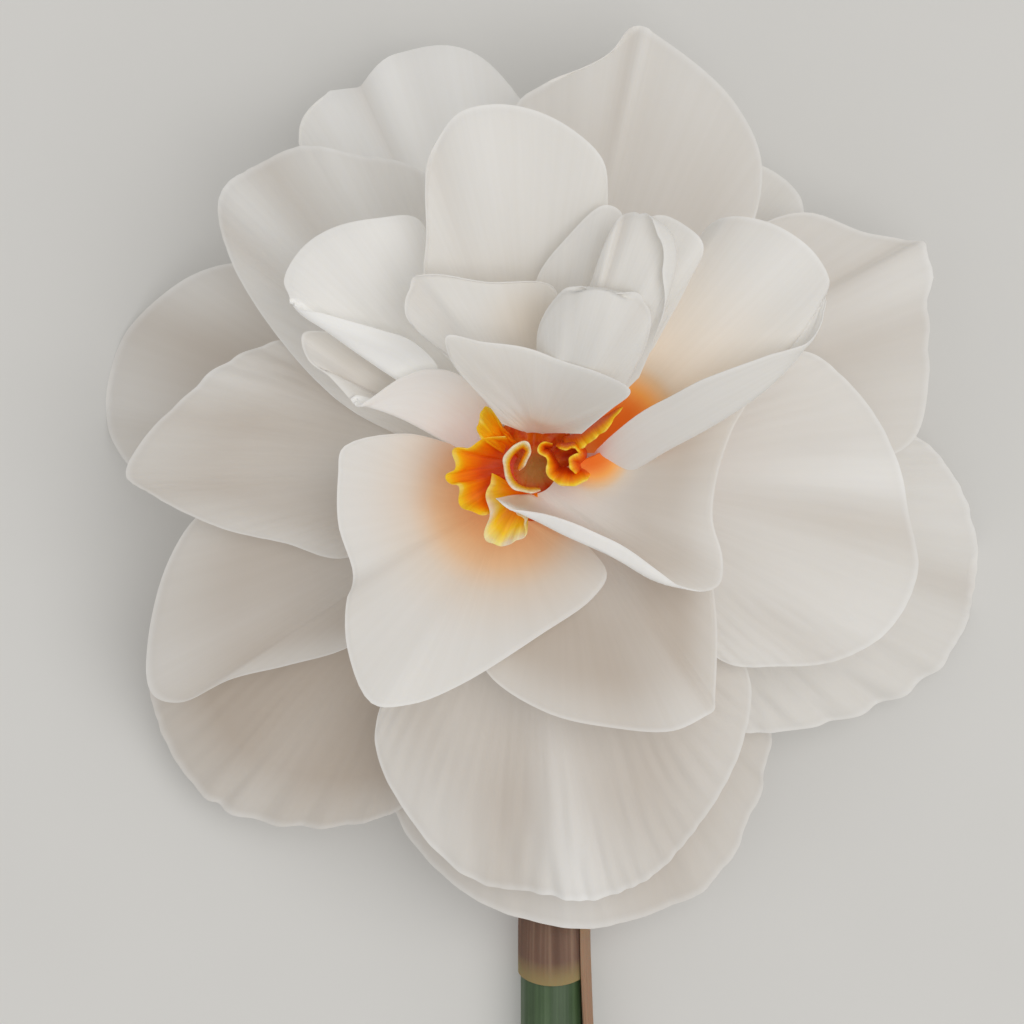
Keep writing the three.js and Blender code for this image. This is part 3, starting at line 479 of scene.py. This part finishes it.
def creases(petal, along, across, sign):
    """Heights in mm of a petal's folds that go up (sign 1) or down (sign -1), over its sheet."""
    height = np.zeros((len(along), len(across)))
    for place, width, tall, start in petal.get("folds", []):
        ridge = np.exp(-((across - place) / width) ** 2)
        height += max(sign * tall, 0) * np.outer(rise(along, start, 1), ridge)
    return height


def crinkles(along, across, chance):
    """Fine waves across a petal's outer half, of unit height, that wander and come and go."""
    height = np.zeros((len(along), len(across)))
    for waves in CRINKLE_WAVES:
        phase = chance.uniform(0, 2 * math.pi, 3)
        wander = 0.5 * np.sin(7 * along + phase[0])[:, None]
        here = 0.5 + 0.5 * np.sin(9 * across + 8 * along[:, None] + phase[1])
        height += here * np.sin(2 * math.pi * (waves * across + wander) + phase[2])
    return height * rise(along, 0.45, 0.85)[:, None]


def relief(petal, along, across, seed):
    """Folds, flutes and a soft unevenness, in mm along the surface's normal."""
    height = creases(petal, along, across, 1) - creases(petal, along, across, -1)
    for first, last, waves, tall, start in petal.get("flutes", []):
        through = (across - first) / (last - first)
        window = rise(through, 0, 0.25) * rise(through, 1, 0.75)
        wave = window * np.sin(2 * math.pi * waves * through)
        height += tall * np.outer(rise(along, start, 1) ** 1.5, wave)
    dome = petal.get("dome", 0) * np.sin(math.pi * clamp01(across)) ** 0.8
    height += np.outer(np.sin(math.pi * clamp01(along)) ** 0.6, dome)
    chance = np.random.RandomState(seed)
    for waves_across, waves_along, tall in UNEVENNESS:
        for _ in range(2):
            a, b = chance.uniform(0.7, 1.3, 2)
            phase = chance.uniform(0, 2 * math.pi, 2)
            height += tall * np.outer(
                np.sin(2 * math.pi * waves_along * b * along + phase[0]),
                np.sin(2 * math.pi * waves_across * a * across + phase[1]))
    if "crinkle" in petal:
        height += petal["crinkle"] * crinkles(along, across, chance)
    return height * rise(along, 0, CALM_CLAW)[:, None]


def add_mesh(name, points, faces):
    """A smooth mesh from points in millimetres."""
    mesh = bpy.data.meshes.new(name)
    mesh.from_pydata((points * MM + BLOOM).tolist(), [], faces)
    mesh.polygons.foreach_set("use_smooth", np.ones(len(mesh.polygons), bool))
    return mesh


def set_places(mesh, across, along):
    """Tells the material each point's place across and along the piece."""
    corner = np.empty(len(mesh.loops), np.int32)
    mesh.loops.foreach_get("vertex_index", corner)
    places = np.column_stack([across, along])[corner]
    mesh.uv_layers.new(name="UVMap").data.foreach_set("uv", places.ravel())


def set_shade(mesh, label, values):
    mesh.attributes.new(label, "FLOAT", "POINT").data.foreach_set("value", values)


def stand_for(name, mesh, material):
    """The piece that takes a node's place."""
    mesh.materials.append(material)
    piece = bpy.data.objects.new(name + "_piece", mesh)
    bpy.context.collection.objects.link(piece)
    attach(piece, "root")
    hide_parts(name)
    return piece


def ring_faces(rings, sides, anticlockwise):
    """Faces of a closed piece made of rings; anticlockwise is as seen from its last ring."""
    faces = []
    for start in range(0, (rings - 1) * sides, sides):
        for corner in range(sides):
            a = start + corner
            b = start + (corner + 1) % sides
            faces.append((a, b, b + sides, a + sides) if anticlockwise else (a, a + sides, b + sides, b))
    first = tuple(range(sides))
    last = tuple(range((rings - 1) * sides, rings * sides))
    return faces + ([first[::-1], last] if anticlockwise else [first, last[::-1]])


def rim_distance(along, columns):
    """How far each point of a grid is from its sides and its far end, as a share of the grid."""
    even = np.linspace(0, 1, columns)
    return np.minimum(1 - along[:, None], np.minimum(even, 1 - even)[None, :])


def blade(name, grid, thickness, along, across, material, **shades):
    """A closed thin piece round the grid's surface, thinner at its rim, standing for its node."""
    rows, columns = grid.shape[:2]
    fullness = rise(rim_distance(along, columns), 0, RIM_REACH)
    half = thickness / 2 * (RIM_SHARE + (1 - RIM_SHARE) * fullness)
    offset = normals_of(grid) * half[..., None]
    points = np.stack([grid + offset, grid - offset]).reshape(-1, 3)
    count = rows * columns
    index = np.arange(count).reshape(rows, columns)
    a, b = index[:-1, :-1].ravel(), index[1:, :-1].ravel()
    c, d = index[1:, 1:].ravel(), index[:-1, 1:].ravel()
    around = np.concatenate([index[:, 0], index[-1, 1:], index[::-1, -1][1:], index[0, ::-1][1:-1]])
    after = np.roll(around, -1)
    faces = [np.column_stack([a, b, c, d]), np.column_stack([a, d, c, b]) + count,
             np.column_stack([after, around, around + count, after + count])]
    mesh = add_mesh(name, points, np.concatenate(faces).tolist())
    ends = np.empty(2 * len(mesh.edges), np.int32)
    mesh.edges.foreach_get("vertices", ends)
    ends = ends.reshape(-1, 2)
    on_rim = np.zeros(2 * count, bool)
    on_rim[np.concatenate([around, around + count])] = True
    one_side = (ends < count).all(axis=1) | (ends >= count).all(axis=1)
    mesh.edges.foreach_set("use_edge_sharp", on_rim[ends].all(axis=1) & one_side)
    set_places(mesh, np.tile(across, 2 * rows), np.tile(np.repeat(along, columns), 2))
    for label, values in shades.items():
        set_shade(mesh, label, np.tile(values.ravel(), 2))
    return stand_for(name, mesh, material)


def heart_light(grid, across, petal):
    """How orange a petal's sheet is near the heart, partly its own orange and partly painted glow, and how
    much painted pale peach light shows beyond that.
    """
    strength, reach = petal.get("warm", (0.25, 10))
    middle_x, middle_y, inner = petal.get("glow", (0, 0, 4))
    away = np.hypot(grid[..., 0] - middle_x, grid[..., 1] - middle_y)
    warm = strength * rise(away, reach, inner) * rise(np.abs(across - 0.5), 0.5 + WALL_FADE, 0.5)
    if "blush" not in petal:
        return warm, np.zeros_like(warm)
    return warm, rise(away, petal["blush"], inner) * ((across >= 0) & (across <= 1))


def whiteness(petal, along, across, turned):
    """Painted light on a petal: a highlight at its thin margin and on its ridges, an overall brightening,
    and light on the back that a fold shows.
    """
    margin = MARGIN_HIGHLIGHT * rise(rim_distance(along, len(across)), MARGIN_REACH, 0)
    margin = margin * rise(along, 0.25, 0.65)[:, None]
    turn = petal.get("wall") or petal.get("hem") or {}
    # Painted light on the backs that walls and hems show, which lie in shade.
    white = np.maximum(np.maximum(margin, petal.get("painted_brightening", 0)), turn.get("white", 0) * turned)
    # Painted highlight on the ridges of the folds.
    return clamp01(white + CREASE_LIGHT_AND_SHADE * creases(petal, along, across, 1))


def creaminess(petal, along, across):
    """Painted shade on a petal, where other petals shade it: less at its claw and its margin, and more in
    its furrows.
    """
    risen = CLAW_SHADE_SHARE + (1 - CLAW_SHADE_SHARE) * rise(along, 0.15, 0.6)
    outwards = risen * (1 - (1 - MARGIN_SHADE_SHARE) * rise(along, 0.72, 1))
    cream = petal.get("cream", 0) * np.outer(outwards, np.ones_like(across))
    # Painted shade in the furrows of the folds.
    return clamp01(cream + CREASE_LIGHT_AND_SHADE * creases(petal, along, across, -1))


class Nodes:
    """A short way to write a material's nodes."""

    def __init__(self, name):
        self.material = bpy.data.materials.new(name)
        self.material.use_nodes = True
        self.material.cycles.emission_sampling = "NONE"
        self.tree = self.material.node_tree
        self.shader = self.tree.nodes["Principled BSDF"]

    def add(self, kind, **settings):
        node = self.tree.nodes.new(kind)
        for key, value in settings.items():
            setattr(node, key, value)
        return node

    def link(self, source, target):
        self.tree.links.new(source, target)

    def feed(self, socket, source):
        self.link(source, self.shader.inputs[socket])

    def attribute(self, name):
        return self.add("ShaderNodeAttribute", attribute_name=name).outputs["Fac"]

    def noise(self, place, scale):
        node = self.add("ShaderNodeTexNoise")
        node.inputs["Scale"].default_value = scale
        self.link(place, node.inputs["Vector"])
        return node.outputs["Fac"]

    def grain(self, scale):
        """Noise in the object's own space, with features of the given number a metre."""
        return self.noise(self.add("ShaderNodeTexCoord").outputs["Object"], scale)

    def places(self):
        return self.add("ShaderNodeUVMap", uv_map="UVMap").outputs["UV"]

    def streaks(self, scale_across, scale_along):
        """Noise that runs along the petal, from its claw to its margin."""
        mapping = self.add("ShaderNodeMapping")
        mapping.inputs["Scale"].default_value = (scale_across, scale_along, 1)
        self.link(self.places(), mapping.inputs["Vector"])
        return self.noise(mapping.outputs["Vector"], 1.0)

    def along(self):
        """Place along a piece, 0 at its foot and 1 at its far end."""
        parts = self.add("ShaderNodeSeparateXYZ")
        self.link(self.places(), parts.inputs["Vector"])
        return parts.outputs["Y"]

    def ramp(self, factor, stops):
        node = self.add("ShaderNodeValToRGB")
        elements = node.color_ramp.elements
        while len(elements) > len(stops):
            elements.remove(elements[-1])
        while len(elements) < len(stops):
            elements.new(1.0)
        for element, (place, colour) in zip(elements, stops):
            element.position = place
            element.color = (*colour, 1)
        self.link(factor, node.inputs["Fac"])
        return node.outputs["Color"]

    def mix(self, factor, first, second, blend="MIX"):
        node = self.add("ShaderNodeMix", data_type="RGBA", blend_type=blend)
        for socket, value in (("Factor", factor), ("A", first), ("B", second)):
            target = [s for s in node.inputs if s.name == socket and s.enabled][0]
            if isinstance(value, (int, float)):
                target.default_value = value
            elif isinstance(value, tuple):
                target.default_value = (*value, 1)
            else:
                self.link(value, target)
        return [s for s in node.outputs if s.enabled][0]

    def bump(self, parts):
        """Chains bumps: each part is a height and its distance in mm."""
        normal = None
        for height, distance in parts:
            node = self.add("ShaderNodeBump")
            node.inputs["Distance"].default_value = distance * MM
            self.link(height, node.inputs["Height"])
            if normal:
                self.link(normal, node.inputs["Normal"])
            normal = node.outputs["Normal"]
        self.feed("Normal", normal)

    def set(self, **values):
        for name, value in values.items():
            self.shader.inputs[name.replace("_", " ")].default_value = value


WHITE = (0.775, 0.755, 0.72)
# Painted shade: the tan that shaded white turns to.
PAINTED_SHADE_TAN = (0.525, 0.455, 0.39)
# Painted light: the white of highlights and of lit folds.
PAINTED_LIGHT_WHITE = (0.95, 0.945, 0.925)
# Painted glow: pale peach light from the heart.
PEACH_GLOW_COLOUR = (0.98, 0.83, 0.67)
PALE_PEACH = (0.72, 0.605, 0.475)
PEACH = (0.82, 0.53, 0.29)
APRICOT = (0.93, 0.41, 0.10)
DEEP_ORANGE = (0.82, 0.16, 0.006)


def petal_material():
    nodes = Nodes("petal")
    # Painted shade dulls the white where other petals shade it.
    creamy = nodes.mix(nodes.attribute("cream"), WHITE, PAINTED_SHADE_TAN)
    # Painted pale peach light from the heart brightens it.
    painted_brightening = nodes.mix(nodes.attribute("blush"), creamy, PEACH_GLOW_COLOUR)
    # The orange near the heart is partly the tissue's own orange and partly painted glow and shade from
    # the heart.
    orange = nodes.ramp(nodes.attribute("warm"), [
        (0.25, PALE_PEACH), (0.5, PEACH), (0.72, APRICOT), (1.0, DEEP_ORANGE)])
    amount = nodes.ramp(nodes.attribute("warm"), [(0.0, (0, 0, 0)), (0.42, (1, 1, 1))])
    tissue = nodes.mix(amount, painted_brightening, orange)
    # Painted light: whiter margins, ridges, folded backs and petals that lie in shade.
    body = nodes.mix(nodes.attribute("whiter"), tissue, PAINTED_LIGHT_WHITE)
    veins = nodes.streaks(60, 1.0)
    vein_tint = nodes.ramp(veins, [(0.35, (0.982, 0.98, 0.975)), (0.62, (1, 1, 1))])
    surface = nodes.mix(1.0, body, vein_tint, "MULTIPLY")
    nodes.feed("Base Color", surface)
    # Painted glow: the tissue emits a little of its own colour for light that comes through it, most of
    # all round the orange heart.
    nodes.feed("Emission Color", surface)
    lit = nodes.ramp(nodes.attribute("warm"), [(0.0, (0.1, 0.1, 0.1)), (1.0, (0.2, 0.2, 0.2))])
    nodes.feed("Emission Strength", lit)
    nodes.bump([(veins, 0.016), (nodes.streaks(24, 1.8), 0.045)])
    nodes.set(Roughness=0.5, Subsurface_Weight=0.15, Subsurface_Scale=0.0012,
              Subsurface_Radius=(1.0, 0.85, 0.65), Specular_IOR_Level=0.35)
    return nodes.material


def crown_material():
    nodes = Nodes("crown")
    colour = nodes.ramp(nodes.attribute("tone"), [
        (0.0, (0.62, 0.045, 0.0)), (0.15, (0.80, 0.11, 0.001)), (0.35, (0.92, 0.23, 0.002)),
        (0.55, (0.97, 0.42, 0.004)), (0.72, (0.98, 0.62, 0.015)), (0.85, (0.95, 0.76, 0.20)),
        (1.0, (0.90, 0.78, 0.60))])
    streaks = nodes.streaks(30, 1.5)
    tint = nodes.ramp(streaks, [(0.38, (0.90, 0.84, 0.84)), (0.62, (1, 1, 1))])
    flesh = nodes.mix(1.0, colour, tint, "MULTIPLY")
    nodes.feed("Base Color", flesh)
    nodes.feed("Emission Color", flesh)
    # Painted glow: the crown emits a little of its own colour.
    nodes.set(Emission_Strength=0.08)
    nodes.bump([(streaks, 0.025), (nodes.grain(3000), 0.012)])
    nodes.set(Roughness=0.4, Subsurface_Weight=0.2, Subsurface_Scale=0.0010,
              Subsurface_Radius=(1.0, 0.5, 0.2), Specular_IOR_Level=0.45)
    return nodes.material


PETAL = petal_material()
CROWN = crown_material()


def add_petal(name, petal, seed):
    along = np.concatenate([np.linspace(0, MARGIN_START, PETAL_ROWS, endpoint=False),
                            np.linspace(MARGIN_START, 1, MARGIN_ROWS + 1)])
    columns = CRINKLED_COLUMNS if "crinkle" in petal else PETAL_COLUMNS
    grid, across, turned = raised_grid(petal, along, columns, seed)
    grid[..., 2] = np.maximum(grid[..., 2], TABLE + PETAL_THICKNESS / 2)
    warm, blush = heart_light(grid, across, petal)
    # Painted light whitens the petal, except where it is orange.
    whiter = whiteness(petal, along, across, turned) * (1 - clamp01(warm / 0.4))
    piece = blade(name, grid, PETAL_THICKNESS, along, across, PETAL, warm=warm,
                  cream=creaminess(petal, along, across), whiter=whiter, blush=blush)


def tone_over(tones, along):
    """A crown piece's tone from its foot to its margin."""
    return np.interp(along, (0, 0.5, 0.82, 0.97), tones)


def add_lobe(name, lobe, seed):
    along = np.linspace(0, 1, CROWN_ROWS + 1)
    grid, across, _ = raised_grid(lobe, along, CROWN_COLUMNS, seed)
    chance = np.random.RandomState(seed)
    patches = 0.05 * np.sin(2 * math.pi * (3 * across + chance.uniform()))
    patches += 0.04 * np.sin(2 * math.pi * (7 * across + chance.uniform()))
    first_side = lobe["side"] * rise(across, 0.3, 0)
    tone = tone_over(lobe["tones"], along)[:, None] + np.outer(along, patches + first_side)
    piece = blade(name, grid, CROWN_THICKNESS, along, across, CROWN, tone=clamp01(tone))


def add_frill(name, frill, seed):
    across = np.linspace(0, 1, CROWN_COLUMNS + 1)
    along = np.linspace(0, 1, CROWN_ROWS + 1)
    plan = [(x, y, 0) for x, y, _, _, _ in frill["path"]]
    step = 1e-3
    place = through_points(plan, across)
    tangent = unit(through_points(plan, across + step) - through_points(plan, across - step))
    upright = through_points([(foot, tall, tuck) for _, _, foot, tall, tuck in frill["path"]], across)
    ends = rise(np.minimum(across, 1 - across), 0, frill.get("taper", 0.08))
    foot = COLUMN_TOP + SEAT_GAP + upright[:, 0]
    tuck = upright[:, 2]
    lean = (frill["flare"] * (0.25 + 0.75 * ends) + tuck) * along[:, None] ** 1.5 - tuck
    ruffle = np.sin(2 * math.pi * (4.3 * across + seed)) + 0.5 * np.sin(2 * math.pi * 7.7 * across)
    sideways = lean + frill["wave"] * np.outer(along ** 2, ruffle)
    tall = upright[:, 1] * (0.45 + 0.55 * ends) * (1 + 0.8 * frill["wave"] * ruffle)
    grid = np.dstack([
        place[:, 0] + tangent[:, 1] * sideways,
        place[:, 1] - tangent[:, 0] * sideways,
        foot + np.outer(np.sin(along * math.pi / 2) ** 0.9, tall),
    ])
    tone = tone_over(frill["tones"], along)[:, None] + 0.03 * np.outer(along, ruffle)
    piece = blade(name, grid, CROWN_THICKNESS, along, across, CROWN, tone=clamp01(tone))


for number, (name, petal) in enumerate(PETALS.items()):
    add_petal(name, petal, 100 + number)
for number, (name, lobe) in enumerate(CROWN_LOBES.items()):
    add_lobe(name, lobe, 300 + number)
for number, (name, frill) in enumerate(CROWN_FRILLS.items()):
    add_frill(name, frill, 0.37 * number)

# The stalk's middle line, from the heart down, over in a bend and along the table.
STALK_RADIUS = 3.3
STALK_LENGTH = 128
NECK_START = COLUMN_BOTTOM - SEAT_GAP
STALK_POINTS = [
    (0, 0, NECK_START), (0, -0.05, 14.4), (0.4, -2.8, 9.4), (1.0, -8, 5.7), (1.7, -17, 4.1),
    (2.1, -30, STALK_RADIUS + 0.3), (2.2, -51, STALK_RADIUS + 0.1), (2.5, -85, STALK_RADIUS),
    (4.5, -130, STALK_RADIUS), (8, -52 - STALK_LENGTH, STALK_RADIUS)]
STALK_SAMPLES = through_points(STALK_POINTS, np.linspace(0, 1, 3000))
STALK_RUN = np.concatenate([[0], np.cumsum(np.linalg.norm(np.diff(STALK_SAMPLES, axis=0), axis=1))])
STALK_END = STALK_RUN[-1]
# Where its organs and the two sheets round it begin and end, in mm from the heart.
TUBE_SPAN = (0, 4.6)
OVARY_SPAN = (4.9, 15.0)
PEDICEL_SPAN = (15.3, 59.1)
SCAPE_SPAN = (59.4, STALK_END)
SHEATH_SPAN = (59.7, 33)
STRIP_SPAN = (55, 78)
# The cut end: its hole's depth in mm, and its rim and its hole's mouth and floor as shares of the
# scape's radius.
HOLE_DEPTH = 5
CUT_RIM = 0.96
HOLE_MOUTH = 0.45
HOLE_FLOOR = 0.36


def stalk_frame(distance):
    """Points, side and up directions of the stalk's middle line at the given distances."""
    def at(run):
        return np.column_stack([np.interp(run, STALK_RUN, STALK_SAMPLES[:, k]) for k in range(3)])
    point = at(distance)
    forward = unit(at(distance + 0.2) - at(distance - 0.2))
    side = unit(np.array([1.0, 0, 0]) - forward * forward[:, :1])
    return point, side, np.cross(side, forward)


def tube(name, span, steps, sides, half_width, half_depth, material, ribs, hollow=0):
    """A closed organ of the stalk, with a number and a height of ribs, hollow to a depth at its end."""
    fraction = np.linspace(0, 1, steps + 1)
    point, side, up = stalk_frame(span[0] + (span[1] - span[0]) * fraction)
    angle = np.linspace(0, 2 * math.pi, sides, endpoint=False)
    rib = 1 + ribs[1] * np.cos(ribs[0] * angle)
    wide = np.outer([half_width(f) for f in fraction], np.cos(angle) * rib)
    deep = np.outer([half_depth(f) for f in fraction], np.sin(angle) * rib)
    rings = [point[k] + side[k] * wide[k][:, None] + up[k] * deep[k][:, None]
             for k in range(steps + 1)]
    if hollow:
        bottom = stalk_frame(np.array([span[1] - hollow]))[0][0]
        rim = rings[-1] - point[-1]
        rings += [point[-1] + rim * CUT_RIM, point[-1] + rim * HOLE_MOUTH, bottom + rim * HOLE_FLOOR]
    points = np.concatenate(rings)
    mesh = add_mesh(name, points, ring_faces(len(rings), sides, False))
    ring, corner = np.divmod(np.arange(len(points)), sides)
    set_places(mesh, corner / sides, ring / steps * (span[1] - span[0]) / 10)
    set_shade(mesh, "cut", (ring > steps).astype(float))
    piece = stand_for(name, mesh, material)


def stalk_material():
    nodes = Nodes("stalk")
    streaks = nodes.streaks(26, 0.25)
    green = nodes.ramp(streaks, [(0.3, (0.045, 0.082, 0.035)), (0.55, (0.072, 0.124, 0.055)),
                                 (0.8, (0.125, 0.19, 0.10))])
    blotch = nodes.ramp(nodes.grain(220), [(0.4, (0.88, 0.92, 0.84)), (0.6, (1, 1, 1))])
    coat = nodes.mix(1.0, green, blotch, "MULTIPLY")
    nodes.feed("Base Color", nodes.mix(nodes.attribute("cut"), coat, (0.62, 0.66, 0.42)))
    nodes.bump([(streaks, 0.12), (nodes.grain(2500), 0.02)])
    nodes.set(Roughness=0.45, Subsurface_Weight=0.15, Subsurface_Scale=0.001,
              Subsurface_Radius=(0.6, 1.0, 0.4), Specular_IOR_Level=0.45)
    return nodes.material


def sheath_material():
    nodes = Nodes("sheath")
    streaks = nodes.streaks(22, 0.8)
    brown = nodes.ramp(streaks, [(0.3, (0.15, 0.082, 0.056)), (0.5, (0.21, 0.122, 0.086)),
                                 (0.72, (0.33, 0.215, 0.15))])
    base = nodes.ramp(nodes.along(), [(0.0, (1, 1, 1)), (0.025, (0.8, 0.8, 0.8)), (0.08, (0, 0, 0))])
    tan = nodes.mix(base, brown, (0.36, 0.27, 0.12))
    nodes.feed("Base Color", nodes.mix(nodes.attribute("tan"), tan, (0.48, 0.30, 0.19)))
    nodes.bump([(streaks, 0.08), (nodes.grain(1800), 0.05)])
    nodes.set(Roughness=0.7, Subsurface_Weight=0.2, Subsurface_Scale=0.0006,
              Specular_IOR_Level=0.3)
    return nodes.material


STALK = stalk_material()
SHEATH = sheath_material()
tube("perianth_tube", TUBE_SPAN, 10, 40, lambda f: 4.3 - 1.6 * f,
     lambda f: 4.3 - 1.6 * f, STALK, ribs=(6, 0.03))
tube("ovary", OVARY_SPAN, 24, 42, lambda f: 2.5 + 1.0 * math.sin(math.pi * f),
     lambda f: 2.5 + 0.9 * math.sin(math.pi * f), STALK, ribs=(3, 0.05))
tube("pedicel", PEDICEL_SPAN, 50, 32, lambda f: 2.1, lambda f: 1.9, STALK, ribs=(8, 0.015))
tube("scape", SCAPE_SPAN, 110, 64, lambda f: STALK_RADIUS * (1 + 0.08 * f),
     lambda f: STALK_RADIUS, STALK, ribs=(12, 0.012), hollow=HOLE_DEPTH)


def add_wrap(name, span, middle, spread, radius, flare, taper, rounded, tan, seed):
    """A papery sheet that spreads so many degrees round the stalk, its far end ragged."""
    along = np.linspace(0, 1, WRAP_ROWS + 1)
    across = np.linspace(0, 1, WRAP_COLUMNS + 1)
    chance = np.random.RandomState(seed)
    ragged = np.zeros(WRAP_COLUMNS + 1)
    for waves in (2, 5, 11, 23):
        ragged += 0.5 / waves * np.sin(2 * math.pi * waves * across + chance.uniform(0, 6.3))
    grid = np.empty((WRAP_ROWS + 1, WRAP_COLUMNS + 1, 3))
    for column, place in enumerate(across):
        reach = along * (1 - 0.10 * (ragged[column] + 0.5) * along)
        bulge = rounded * math.sin(math.pi * place) ** 3 * (1 - along) ** 2
        point, side, up = stalk_frame(span[0] + (span[1] - span[0]) * reach + bulge)
        half = spread / 2 * taper(along)
        angle = (middle + half * (1 - 2 * place)) * DEGREE
        wave = 0.12 * np.sin(2 * math.pi * (7 * place + 0.6 * along)) * rise(along, 0, 0.5)
        out = radius + flare * along ** 2 + wave
        grid[:, column] = (point + side * (out * np.cos(angle))[:, None]
                           + up * (out * np.sin(angle))[:, None])
    piece = blade(name, grid, SHEATH_THICKNESS, along, across, SHEATH,
                  tan=np.full(grid.shape[:2], tan))


add_wrap("spathe_sheath", SHEATH_SPAN, middle=-90, spread=318, radius=STALK_RADIUS + 0.2,
         flare=0.1, taper=lambda along: 1 - 0.75 * along ** 1.5, rounded=1.8, tan=0, seed=7)
add_wrap("spathe_torn_strip", STRIP_SPAN, middle=-14, spread=56, radius=STALK_RADIUS + 0.55,
         flare=0.7, taper=lambda along: 1 - 0.7 * along ** 2, rounded=0, tan=0.7, seed=9)


def heart_material():
    nodes = Nodes("heart")
    flesh = nodes.ramp(nodes.grain(900), [(0.35, (0.75, 0.08, 0.001)), (0.65, (0.92, 0.22, 0.003))])
    side = nodes.mix(nodes.attribute("below"), flesh, (0.66, 0.62, 0.30))
    # Painted shade: the hollow in the top is a darker brown-yellow.
    nodes.feed("Base Color", nodes.mix(nodes.attribute("hollow"), side, (0.52, 0.26, 0.03)))
    nodes.bump([(nodes.grain(1600), 0.12), (nodes.grain(4000), 0.03)])
    nodes.set(Roughness=0.5, Subsurface_Weight=0.2, Subsurface_Scale=0.001)
    return nodes.material


def add_heart():
    """The heart: a stub whose top is folded like the base of the crown."""
    rings, sides = 30, 96
    angle = np.linspace(0, 2 * math.pi, sides, endpoint=False)
    # Each row's radius, its height, and how far inwards over the top it is, from 0 to 1.
    rows = [(0.02, COLUMN_BOTTOM, 0), (4.3, COLUMN_BOTTOM, 0), (COLUMN_RADIUS, COLUMN_BOTTOM + 0.6, 0),
            (COLUMN_RADIUS, COLUMN_TOP - 0.8, 0)]
    rows += [(COLUMN_RADIUS * math.cos(f * math.pi / 2) ** 0.5 + 0.02, COLUMN_TOP, f)
             for f in np.linspace(0.12, 0.995, rings)]
    points = []
    for radius, height, inward in rows:
        folds = 0.35 * np.sin(9 * angle + 5 * inward) + 0.2 * np.sin(17 * angle - 3 * inward)
        dip = 0.8 * rise(inward, 0.4, 1)
        lift = (folds * rise(inward, 0, 0.25) * rise(inward, 1, 2 / 3) - dip) if inward else 0 * angle
        points.append(np.column_stack([radius * np.cos(angle), radius * np.sin(angle), height + lift]))
    points = np.concatenate(points)
    mesh = add_mesh("receptacle", points, ring_faces(len(rows), sides, True))
    away = np.hypot(points[:, 0] - 0.3, points[:, 1])
    # Painted shade in the hollow of the top.
    set_shade(mesh, "hollow", rise(away, 2.4, 0.8))
    set_shade(mesh, "below", rise(points[:, 2], COLUMN_TOP - 1.5, COLUMN_TOP - 9.5))
    piece = stand_for("receptacle", mesh, heart_material())


add_heart()


# The studio, in metres and watts. The lights' places are counted from their aim in the bloom.
FLOOR_HALF = 3.0
AIM_HEIGHT = 0.025
LIGHT_COLOUR = (1.0, 0.985, 0.965)
LIGHTS = {
    "key": dict(place=(0.50, -0.05, 1.15), size=1.3, power=6.2),
    "fill": dict(place=(-0.9, -0.5, 1.1), size=1.4, power=0.9),
}


def add_floor():
    mesh = bpy.data.meshes.new("floor")
    corners = [(x * FLOOR_HALF, y * FLOOR_HALF, 0) for x, y in ((-1, -1), (1, -1), (1, 1), (-1, 1))]
    mesh.from_pydata(corners, [], [(0, 1, 2, 3)])
    floor = bpy.data.objects.new("floor", mesh)
    bpy.context.collection.objects.link(floor)
    paint = Nodes("floor_paint")
    tint = paint.ramp(paint.grain(40), [(0.3, (0.64, 0.635, 0.615)), (0.7, (0.655, 0.65, 0.63))])
    paint.feed("Base Color", tint)
    paint.set(Roughness=0.9, Specular_IOR_Level=0.1, Emission_Strength=0.12,
              Emission_Color=(1.0, 0.99, 0.965, 1))
    mesh.materials.append(paint.material)


def add_light(name, place, size, power):
    data = bpy.data.lights.new(name, "AREA")
    data.shape = "DISK"
    data.size = size
    data.energy = power
    data.color = LIGHT_COLOUR
    lamp = bpy.data.objects.new(name, data)
    bpy.context.collection.objects.link(lamp)
    lamp.location = BLOOM + np.array([0, 0, AIM_HEIGHT]) + np.array(place)
    x, y, z = place
    lamp.rotation_euler = (math.atan2(math.hypot(x, y), z), 0, math.atan2(x, -y))


add_floor()
for name, light in LIGHTS.items():
    add_light(name, **light)

world = bpy.data.worlds.new("studio")
world.use_nodes = True
background = world.node_tree.nodes["Background"]
background.inputs["Color"].default_value = (1.0, 0.99, 0.975, 1)
background.inputs["Strength"].default_value = 0.45
bpy.context.scene.world = world
bpy.context.scene.view_settings.view_transform = "Standard"

# The camera looks straight down on the bloom, with the stalk towards the bottom of the picture.
PICTURE_WIDTH_PX = 1024
AXIS_X_PX, AXIS_Y_PX = 532, 470
MM_PER_PX = 0.102
SCALE_HEIGHT = 20
CAMERA_DISTANCE = 700
SENSOR_WIDTH = 36
FARTHEST_SEEN = 20000
centre_px = PICTURE_WIDTH_PX / 2
camera_data = bpy.data.cameras.new("camera")
camera_data.sensor_width = SENSOR_WIDTH
camera_data.lens = SENSOR_WIDTH * CAMERA_DISTANCE / (PICTURE_WIDTH_PX * MM_PER_PX)
camera_data.clip_end = FARTHEST_SEEN * MM
camera = bpy.data.objects.new("camera", camera_data)
bpy.context.collection.objects.link(camera)
camera.location = BLOOM + MM * np.array([
    (centre_px - AXIS_X_PX) * MM_PER_PX,
    (AXIS_Y_PX - centre_px) * MM_PER_PX,
    SCALE_HEIGHT + CAMERA_DISTANCE,
])
bpy.context.scene.camera = camera
